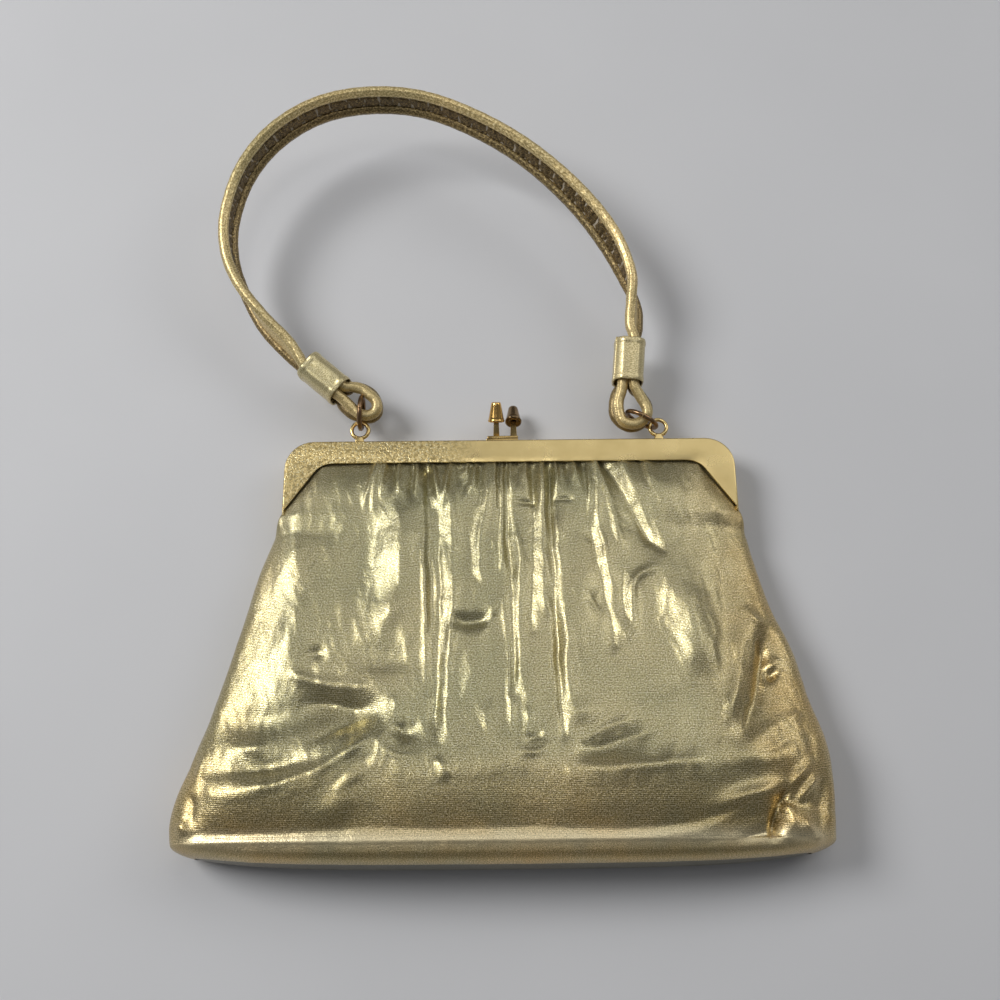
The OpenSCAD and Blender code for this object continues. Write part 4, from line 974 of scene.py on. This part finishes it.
# %% Rounded folds
ridges = [  # height, half width and line of each rounded fold
    (0.8, 1.3, [(-52.5, 30), (-54.5, 14), (-56.6, 4), (-57.4, -8)]),
    (0.7, 1.0, [(-51, 30), (-53, 12), (-53.4, 0), (-52, -6)]),
    (0.8, 1.1, [(-49.5, 30), (-50.3, 10), (-49.8, 0)]),
    (0.8, 1.2, [(-43.5, 30), (-44.5, 17), (-43, 8), (-42.5, 2)]),
    (0.8, 1.1, [(-37, 30), (-36.8, 16), (-36, 6)]),
    (1.0, 1.1, [(-34, 14), (-33.6, -4), (-33.4, -28), (-32, -50), (-31.4, -78)]),
    (1.2, 1.3, [(-32.5, 30), (-30, 16.5), (-28, 6), (-27.4, -2)]),
    (1.2, 1.2, [(-21, 30), (-24.4, 15), (-25.4, 5), (-26, -4)]),
    (1.5, 2.2, [(-23, 12), (-22.6, -6), (-22, -28), (-22.4, -46), (-23.3, -62), (-23.6, -78), (-24.6, -90),
                (-26, -98)]),
    (0.7, 1.0, [(-16.5, 30), (-17, 15), (-18, 10)]),
    (0.7, 1.1, [(-13.5, 30), (-14, 12), (-15.5, 2)]),
    (1.1, 2.0, [(-8.5, 30), (-8.2, 8), (-10.2, -4), (-11.8, -14), (-12, -26), (-10.8, -38)]),
    (0.8, 0.7, [(-5.9, 30), (-5.7, 6), (-6, -12), (-7, -27)]),
    (0.9, 0.8, [(-3.1, 30), (-3.1, 2), (-3.1, -14), (-4, -30)]),
    (1.0, 1.1, [(-3.8, -28), (-2.6, -44), (-1.4, -56), (-1, -68), (-0.4, -82), (0.2, -94)]),
    (0.9, 1.0, [(-0.3, 30), (0.2, 12), (0.6, 4)]),
    (1.3, 2.0, [(1.5, 0), (3.6, -14), (3.2, -30), (2.6, -45), (2.6, -62), (2, -77)]),
    (0.9, 1.1, [(5.5, 30), (6.3, 14), (7, 5)]),
    (1.3, 1.9, [(13, 30), (12.8, 10), (12.8, -14), (12.4, -32), (12.4, -50)]),
    (0.9, 1.0, [(13.8, -48), (14.6, -62), (15.6, -78), (15.5, -92)]),
    (0.8, 1.0, [(18, 30), (18.2, 12), (17.6, 4)]),
    (1.5, 2.9, [(19.2, 2), (18.8, -20), (19.6, -42), (20, -58), (20.2, -70), (22.6, -80), (27, -85)]),
    (0.7, 1.3, [(25.5, 30), (25.8, 8)]),
    (1.1, 1.0, [(31.5, 30), (31, 8), (31.2, -8)]),
    (1.0, 1.3, [(33, 30), (34.2, 10), (34.6, -4), (36.4, -18), (38, -30), (38.5, -40)]),
    (1.6, 1.9, [(32.5, 30), (37, 10), (39.8, 1), (41.8, -9), (42.4, -21)]),
    (1.7, 2.6, [(43, 30), (46.6, 13), (49.4, 5), (52, -1)]),
    (0.9, 2.4, [(53, 30), (55, 12), (57, 2)]),
    (1.5, 1.9, [(60, -24), (54, -26), (48.5, -29), (45.6, -34), (45.2, -42), (44.6, -49), (41.4, -54.5),
                (37.5, -60)]),
    (1.7, 5.4, [(57, -30), (61.5, -34), (65, -41), (67, -49), (68, -58), (69, -70)]),
    (1.1, 3.2, [(36, -64), (39, -60), (40, -56)]),
    (1.0, 1.6, [(-5.5, -34), (-7, -42), (-10.5, -50), (-14, -55)]),
    (0.9, 2.6, [(-11, -74), (-9, -82), (-8, -95)]),
    (0.8, 1.6, [(6.5, -78), (5, -86), (3.4, -93)]),
    (1.0, 1.8, [(86, -40), (90, -45), (94, -47), (99, -45)]),
    (2.4, 3.0, [(84, -46), (83.4, -60), (81.4, -71), (78, -81), (74, -90)]),
    (1.3, 1.7, [(100, -60), (97, -62.5), (95, -66)]),
    (1.2, 1.9, [(99, -72), (98, -68), (99.5, -64)]),
    (1.8, 3.0, [(101, -83), (94, -87), (88, -91), (81.5, -96)]),
    (1.2, 2.0, [(104, -81), (99, -86)]),
    (2.2, 1.5, [(108, -98), (103.6, -102), (99.6, -106.6), (97, -112), (95.4, -118), (95, -124)]),
    (1.5, 1.2, [(110, -103), (105.6, -107), (101.6, -112), (100, -116)]),
    (1.5, 1.8, [(96, -113), (97.4, -118), (95.6, -125)]),
    (2.0, 3.0, [(98, -118), (101.5, -122), (107, -127), (110, -129)]),
    (1.5, 2.8, [(-86, -60), (-80, -66), (-70, -70), (-60, -71), (-50, -71), (-44, -72.5)]),
    (0.9, 1.8, [(-44, -73), (-42, -79), (-44, -86)]),
    (1.5, 2.4, [(-46, -88), (-54, -92.5), (-62, -97.5), (-70, -102), (-80, -105.5), (-90, -107.5),
                (-99, -107)]),
    (1.0, 1.5, [(-46, -87), (-47, -93), (-43, -97), (-37, -97.6), (-31, -96)]),
    (0.9, 2.6, [(-51, -101), (-58, -105), (-65, -112)]),
    (1.2, 2.8, [(16, -99), (21, -102), (34, -102.6), (48, -101.4), (62, -99.6), (74, -97.6)]),
    (1.1, 2.0, [(17, -96.5), (24, -92), (32, -88.4), (40, -85), (48, -80.5)]),
    (1.0, 1.4, [(0, -93), (4.5, -96.4), (10, -95.4), (14.6, -91.6)]),
    (0.7, 3.0, [(-102, -93), (-93, -93), (-84, -92)]),
    (0.9, 1.6, [(-28.5, -97), (-25.5, -101), (-23, -106)]),
    (1.1, 1.8, [(-118, -117), (-116.6, -121), (-113, -124)]),
    (0.8, 2.0, [(-111, -92), (-111.6, -102), (-113, -110)]),
]
print("folds:", len(ridges))

# %% [markdown]
# ## Pouch: hills and hollows
# Last come the broad shapes that carry the large soft lights: each is an oval bulge, or a hollow where its
# height is below zero.

# %% Hills and hollows
hills = [  # x, y, half length, half width, turn in degrees, height
    (-41, -12, 16, 7.5, 86, 2.6), (-45, -41, 8, 5, 60, 1.4), (-83, -18, 15, 6, 84, 1.5),
    (-82, -50, 15, 6, 76, 1.7), (-57, -24, 20, 8, 86, -1.5), (-72, -58, 3.2, 2.6, 0, -1.0),
    (-48, -60, 14, 6, 0, -1.2), (-58, -81, 14, 6, 6, -1.8), (-38, -88, 5, 4, 80, -1.2),
    (-17, -22, 14, 3.6, 90, -0.7), (-16, -46, 7, 3, 0, -1.2), (-14, -66, 14, 4.6, 88, 0.8),
    (7, -72, 10, 4, 88, 0.7), (25, -40, 22, 5, 88, 1.0), (25, -82, 7, 5, 20, 1.2),
    (34, -36, 9, 3, 80, -1.0), (60, 6, 13, 8, -50, 1.5), (67, -46, 24, 8, -76, 2.4),
    (52, -70, 14, 8, 20, 0.9), (50, -44, 12, 4, 80, -0.7), (96, -67.4, 2.6, 1.8, 70, -2.0),
    (89, -52, 12, 4, 80, 0.9), (84, -111.5, 12, 3.6, 12, 3.0), (100.5, -121, 4.5, 3.4, 75, 1.8),
    (91.5, -122, 4.5, 1.8, 84, -1.6), (110, -112, 8, 3, 80, -1.2), (86, -124, 6, 2.2, 20, -1.2),
    (-92, -92, 12, 4, 4, 0.9), (-88, -100, 16, 3, 6, -1.0), (-90, -82, 22, 5, 4, -1.0),
    (-118, -121, 3, 2.4, 60, 1.0), (-62, -114, 8, 4, 30, 0.7), (34, -96, 10, 3, 10, -0.8),
]
print("hills:", len(hills))

# %% [markdown]
# ## Pouch: the low band
# Below the folds the cloth hangs over one long crest, falls in a dark smooth band, and turns level at the
# stiff rim, which catches one bright line; a painted highlight in the cloth's colour makes that line
# brighter. Two curves say where crest and rim run, and a third says how the height changes from one to the
# other.

# %% Folds across the whole width
hill_gain = 1.3
# y of the crest that runs across the cloth above its low band, and of the stiff brim below the band
crest = curve([(-125, -104), (-110, -107), (-97, -108), (-87, -108), (-74, -104.5), (-61, -99.5), (-50, -95),
               (-40, -98.5), (-28, -101), (-15, -100), (0, -97.5), (12, -97), (20, -101.5), (34, -103),
               (48, -102), (62, -100.4), (74, -98.4), (88, -97), (100, -95), (116, -93)])
brim = curve([(-125, -124.8), (-90, -125), (-40, -125), (20, -125), (52, -124.4), (62, -123), (70, -120.6),
              (78, -117.6), (86, -115.6), (94, -115), (104, -117), (116, -119)])
# height of the cloth between them: 0 is at the crest and 1 at the brim
fall = curve([(-1.6, 0), (-0.9, 0.6), (-0.4, 2.0), (-0.12, 3.2), (0.03, 3.5), (0.15, 3.2), (0.3, 2.3),
              (0.5, 0.9), (0.68, -0.5), (0.8, -1.45), (0.87, -1.9), (0.91, -1.85), (0.96, -1.5), (1.0, -1.4),
              (1.1, -1.6), (1.3, -2.0), (1.6, -2.0)])

def softly(t):
    """0 up to t = 0, 1 from t = 1, and a smooth step between."""
    t = np.clip(t, 0, 1)
    return t * t * (3 - 2 * t)

def low_band(x, y):
    """The cloth sags over the crest and falls to the rim, less so near the sides."""
    u = (y - crest(x)) / (brim(x) - crest(x))
    at_sides = 1 - 0.6 * softly((np.abs(x + 3) - 96) / 16)
    before_end = 1 - softly((end_y - y - 1.5) / 6)
    return u, fall(u) * at_sides * before_end

print("crest and brim in the middle, mm:", round(float(crest(0.0))), round(float(brim(0.0))))

# %% [markdown]
# ## Pouch: height of all folds
# Each fold is measured from its line: the distance across gives its shape, and the place along it gives its
# taper. Adding them up is cheaper than carving a mesh, and any point of any grid can ask for its height.

# %% Height of all folds
longest_taper, under_bar_y = 14.0, 25   # a line that starts above under_bar_y is held by the bar

def along_line(x, y, points):
    """Distance from a line of points, and the place along it from 0 to 1."""
    lengths = np.hypot(*np.diff(points, axis=0).T)
    done, best, place = 0.0, np.full_like(x, 1e9), np.zeros_like(x)
    for (ax, ay), (bx, by), length in zip(points, points[1:], lengths):
        ux, uy = (bx - ax) / length, (by - ay) / length
        t = np.clip((x - ax) * ux + (y - ay) * uy, 0, length)
        d = np.hypot(x - ax - t * ux, y - ay - t * uy)
        place = np.where(d < best, (done + t) / lengths.sum(), place)
        best = np.minimum(best, d)
        done += length
    return best, place

def crease_shape(d):
    """Depth across a crease, d in half widths: a narrow bottom between slopes that flatten out."""
    return -np.exp(-(np.sqrt(d ** 2 + 0.06) - 0.245) * 1.25)

def ridge_shape(d):
    """Height across a fold, d in half widths: a round top between slopes that flatten out."""
    return 1 / np.cosh(np.clip(d * 1.3, 0, 12)) ** 1.5

def fold_height(x, y, points, size, width, shape):
    """One fold: it tapers and widens towards its ends, and isn't quite even along its length."""
    length = np.hypot(*np.diff(points, axis=0).T).sum()
    d, place = along_line(x, y, points)
    end = min(longest_taper, 0.4 * length)
    start = 1.0 if points[0, 1] > under_bar_y else softly(place * length / end)
    taper = start * softly((1 - place) * length / end)
    uneven = 0.85 + 0.3 * np.sin(place * length * 0.11 + size * 9)
    return size * shape(d / (width * (1.5 - 0.5 * taper))) * taper * uneven

def small_creases(x, y):
    """Creases everywhere, longer down the cloth than across it."""
    sharp_one = 1 - np.abs(wobble(x * 0.22 + 0.8 * wobble(y * 0.1, x * 0.1, 3), y * 0.08, 8))
    return (0.26 * wobble(x * 0.13, y * 0.07, 1) + 0.15 * wobble(x * 0.31, y * 0.15, 4)
            + 0.22 * sharp_one ** 3 + 0.05 * wobble(x * 0.7, y * 0.5, 7))

def relief(x, y):
    """Height of all folds at x, y in mm."""
    # no fold runs along a ruler, so each line wanders by part of a millimetre
    x_line = x + 0.5 * wobble(y * 0.09, x * 0.05, 2) + 0.2 * wobble(y * 0.31, x * 0.2, 5)
    y_line = y + 0.6 * wobble(x * 0.08, y * 0.06, 6)
    total = np.zeros_like(x)
    for shape, lines in ((crease_shape, creases), (ridge_shape, ridges)):
        for size, width, points in lines:
            points = smooth_route(points, 5)
            (x0, y0), (x1, y1) = points.min(0) - width * 5, points.max(0) + width * 5
            near = (x > x0) & (x < x1) & (y > y0) & (y < y1)
            total[near] += fold_height(x_line[near], y_line[near], points, size, width, shape)
    # the gathers are strongest just below the bar, and stronger still on the left
    total *= 1 + (0.6 + 0.4 * softly((-18 - x) / 10)) * softly((y + 2) / 14)
    for hill_x, hill_y, long, wide, turned, height in hills:
        c, s = math.cos(math.radians(turned)), math.sin(math.radians(turned))
        u = (x_line - hill_x) * c + (y_line - hill_y) * s
        v = (y_line - hill_y) * c - (x_line - hill_x) * s
        total += hill_gain * height * np.exp(-(u / long) ** 2 - (v / wide) ** 2)
    u, band_height = low_band(x, y)
    # the low band is drawn tight, so it has few small creases
    return total + band_height + (1 - 0.8 * softly((u - 0.1) / 0.2)) * small_creases(x, y)

print("creases:", len(creases), "folds:", len(ridges), "hills:", len(hills))

# %% [markdown]
# ## Pouch: front cloth
# One continuous cloth: its gathered heading is held under the frame's bar, it swells out below the bar,
# closes over the hinges at both sides, widens to the base, and rolls over the bottom rim.

# %% Front cloth
neck_y, neck_at, rim_at = -12.0, 0.22, 0.86     # the cloth's rows: heading to the neck, then down to the rim
under_bar_z, bar_soft, swell_long = 13.75, 1.6, 16
roll_deep = 8.4                                 # how far the cloth rolls down over the rim

def front_shape(inset):
    def shape(s, t):
        s = even(s)
        x_top, _ = section(s, np.full_like(s, 6.0), inset)
        y_top = mouth_line(x_top, 2.6 - 0.3 * inset)
        y = np.where(t < neck_at, y_top + (neck_y - y_top) * (t / neck_at),
                     neck_y + (end_y - neck_y) * np.clip((t - neck_at) / (rim_at - neck_at), 0, 1))
        x, z = section(s, y, inset)
        # under the bar the cloth lies flat, and it swells to its full height below it
        flat = (1 - np.clip((mouth_line(x, 0.0) - y) / swell_long, 0, 1)) ** 2
        over = z - under_bar_z + inset
        z = z - flat * (over + np.hypot(over, bar_soft)) / 2
        # past the rim it goes inwards and follows the end's own form
        deep_in = roll_deep * np.clip((t - rim_at) / (1 - rim_at), 0, 1) ** 2.2
        x_in, z_in = section(s, np.full_like(s, end_y), inset + deep_in, foot_low + inset)
        rolled = t > rim_at
        x, z = np.where(rolled, x_in, x), np.where(rolled, z_in, z)
        y = np.where(rolled, end_place(x, z) + inset, y)
        return np.stack([x, y, z], 1)
    return shape

def pushed(bm, amount):
    """Moves each point of a grid along the cloth's normal by amount(x, y, z) mm."""
    bm.normal_update()
    verts = list(bm.verts)
    co = np.array([v.co for v in verts]) / mm
    no = np.array([v.normal for v in verts])
    by = amount(co[:, 0], co[:, 1], co[:, 2])
    for v, p in zip(verts, (co + no * by[:, None]) * mm):
        v.co = p

def faced_up(bm):
    """Turns a sheet's faces so that the one nearest the middle of the front looks up."""
    bm.normal_update()
    middle = min(bm.faces, key=lambda f: (f.calc_center_median() - Vector((0, -0.05, 0.03))).length)
    if middle.normal.z < 0:
        bmesh.ops.reverse_faces(bm, faces=bm.faces)

def fold_amount(x, y, z):
    """The folds, weak on the pouch's sides and where the bar holds the cloth."""
    up = np.clip((z - 0.45 * crown(y)) / (0.35 * crown(y)), 0, 1)
    held = np.clip((mouth_line(x, 0.0) - y + 1.5) / 3.5, 0, 1)
    return relief(x, y) * (0.15 + 0.85 * up) * (0.25 + 0.75 * held)

front_size = (0.262, 0.172)
front_grid = ((380, 250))
bm = cloth_grid(*front_grid, front_shape(0.0), front_size)
faced_up(bm)
pushed(bm, fold_amount)
front = piece("front_cloth", bm, pouch_lame, None, ["front_heading", "front_panel"],
              recalc=False, crease=180)
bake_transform(front)
print("front cloth faces:", len(front.data.polygons))

# %% [markdown]
# ## Base
# The base is its own cloth over a stiff board. It closes the pouch's rounded end between the two rims, and
# its seam lies just inside the front cloth's roll.

# %% Base cloth
base_left, base_right = 123.0, 115.5            # half widths, mm
base_side_high, base_rise = 9.9, 22.7           # the end's height at its sides, and its middle's rise

def base_shape(top_in, low, inner):
    """Sheet across the end, from low up to top_in below the crown, lying inner mm inside the end's form."""
    def shape(s, t):
        e = s * 2 - 1
        w = np.where(e < 0, base_left, base_right) - top_in * 0.9
        x = np.sign(e) * w * np.abs(e) ** 0.9
        u = np.clip(np.abs(x) / w, 0, 1)
        high = base_side_high + base_rise * (1 - u ** 3.03) ** 0.25 - top_in
        z = low + np.maximum(high - low, 0.4) * t
        return np.stack([x, end_place(x, z) + inner, z], 1)
    return shape

bm = cloth_grid(240, 30, base_shape(6.6, 0.5, 0.35), (0.25, 0.03))
# the base cloth's darker colour is painted shade
piece("base_cloth", bm, base_lame_painted_shade, "pouch", ["base_panel"], recalc=False)
bm = cloth_grid(120, 10, base_shape(9.0, 4.0, 3.0), (0.24, 0.022))
board = piece("base_stiffener", bm, grey_card, "pouch", ["base_board"], recalc=False)
thickened(board, 0.0014, 0)
print("base parts:", 2)

# %% [markdown]
# ## Rear cloth
# The purse lies on its back, so the rear cloth is flat on the table, its border turned up to the side seams
# and its heading in the rear half's channel. Its wrinkles are shallow.

# %% Rear cloth
rear_left, rear_right, rear_in = 119.0, 111.0, 2.6
window_half, window_most = 70.0, 86.2           # half width of the rear window at its bar, and at its arms

def rear_shape(inset, low, top_at):
    """Flat sheet from top_at down to the base, low mm above the table."""
    def shape(s, t):
        e = s * 2 - 1
        wide = np.where(e < 0, rear_left, rear_right)
        y_edge = end_place(e * wide, np.full_like(e, 0.6)) + inset * 2
        y = top_at + (y_edge - top_at) * t
        along = np.clip(y, -127.4, -9)
        side = np.where(s < 0.5, left_w(along), right_w(along)) - rear_in - inset
        high = np.clip((y + 12) / 14, 0, 1)
        window = np.minimum(window_half + (bar_low - y) / arm_slope * 0.9, window_most) - inset
        side = side * (1 - high) + np.minimum(side, window) * high
        x = e * side
        turned_up = 0.9 * np.clip((np.abs(e) - 0.93) / 0.07, 0, 1) ** 2 * (y < -6)
        wrinkles = 0.12 * (1 + wobble(x * 0.09, y * 0.12, 8)) * (np.abs(e) < 0.97)
        in_channel = 1.7 * np.clip((y - 19.5) / 2.2, 0, 1)
        return np.stack([x, y, low + turned_up + wrinkles + in_channel], 1)
    return shape

bm = cloth_grid(150, 110, rear_shape(0.0, 0.7, 27.0), (0.22, 0.165))
bmesh.ops.reverse_faces(bm, faces=bm.faces)
rear = piece("rear_cloth", bm, pouch_lame, "pouch", ["rear_panel"], recalc=False)
thickened(rear, 0.0006, -1)
print("rear cloth faces:", len(rear.data.polygons))

# %% [markdown]
# ## Lining
# Inside, a plain satin lining follows the same loft a little smaller, and shows when the frame is open. Its
# front takes the front cloth's folds, because both are gathered together under the bar.

# %% Lining
lining_satin, tree, shader = material("lining satin", Roughness=0.5, Sheen_Weight=0.3, Sheen_Roughness=0.4)
at = add(tree, "TexCoord", {})
weft = stripes(tree, at.outputs["UV"], 0.0005, {"Distortion": 1.0})
clouds = ramp(tree, noise(tree, at.outputs["Object"], 35, 3.0), (0.35, (0.46, 0.34, 0.19)),
              (0.65, (0.56, 0.43, 0.25)))
woven = mixed(tree, between(tree, weft, 0, 1, 0.0, 0.25), clouds, (0.34, 0.25, 0.13))
tree.links.new(woven, shader.inputs["Base Color"])
bumped(tree, shader, strength=0.3, distance=0.0001, height=weft)

lining_in = 2.4                                 # how far the lining lies inside the cloth, mm

def lining_folds(x, y, z):
    return 0.9 * fold_amount(x, y, z + lining_in) + 0.3 * wobble(x * 0.12, y * 0.1, 3) * (y < -8)

bm = cloth_grid(150, 100, front_shape(lining_in), front_size)
faced_up(bm)
pushed(bm, lining_folds)
bmesh.ops.reverse_faces(bm, faces=bm.faces)
front_in = piece("front_lining_cloth", bm, lining_satin, None, ["front_lining", "front_heading_lining"],
                 recalc=False, crease=180)
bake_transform(front_in)
bm = cloth_grid(110, 80, rear_shape(3.0, 2.15, 26.5), (0.21, 0.16))
piece("rear_lining_cloth", bm, lining_satin, "pouch", ["rear_lining"], recalc=False)
bm = cloth_grid(110, 10, base_shape(10.0, 3.2, 4.4), (0.24, 0.022))
piece("base_lining_cloth", bm, lining_satin, "pouch", ["base_lining"], recalc=False)
print("lining parts:", 3)

# %% [markdown]
# ## Paper cords
# A twisted paper cord is pressed into each channel behind the cloth and locks it there. It is a thin tube
# whose outline swells a little with the twist.

# %% Paper cords
cord_half, cord_r, cord_y = 78.3, 1.05, 29.1
front_cord_z, rear_cord_z = 13.1, 3.3

def paper_cord(name, node, z, body):
    def shape(s, t):
        a = s * math.tau
        x = cord_half * (2 * t - 1)
        r = cord_r + 0.04 * np.sin(a * 2 + x * 2.4)
        return np.stack([x, cord_y + r * np.cos(a), z + r * np.sin(a)], 1)
    bm = cloth_tube(12, 160, shape, (0.007, 0.157))
    piece(name, bm, grey_card, body, [node])

paper_cord("front_cord_paper", "front_paper_cord", front_cord_z, "front_half")
paper_cord("rear_cord_paper", "rear_paper_cord", rear_cord_z, "pouch")
print("paper cords:", 2)

# %% [markdown]
# ## Size at the end
# The dressed part has to stay in the CAD's box, apart from a little that cloth may stand proud.

# %% Finish
new_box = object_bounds()
for a, b in zip(cad_box, new_box):
    print("CAD", [round(v * 1000, 1) for v in a], "dressed", [round(v * 1000, 1) for v in b])
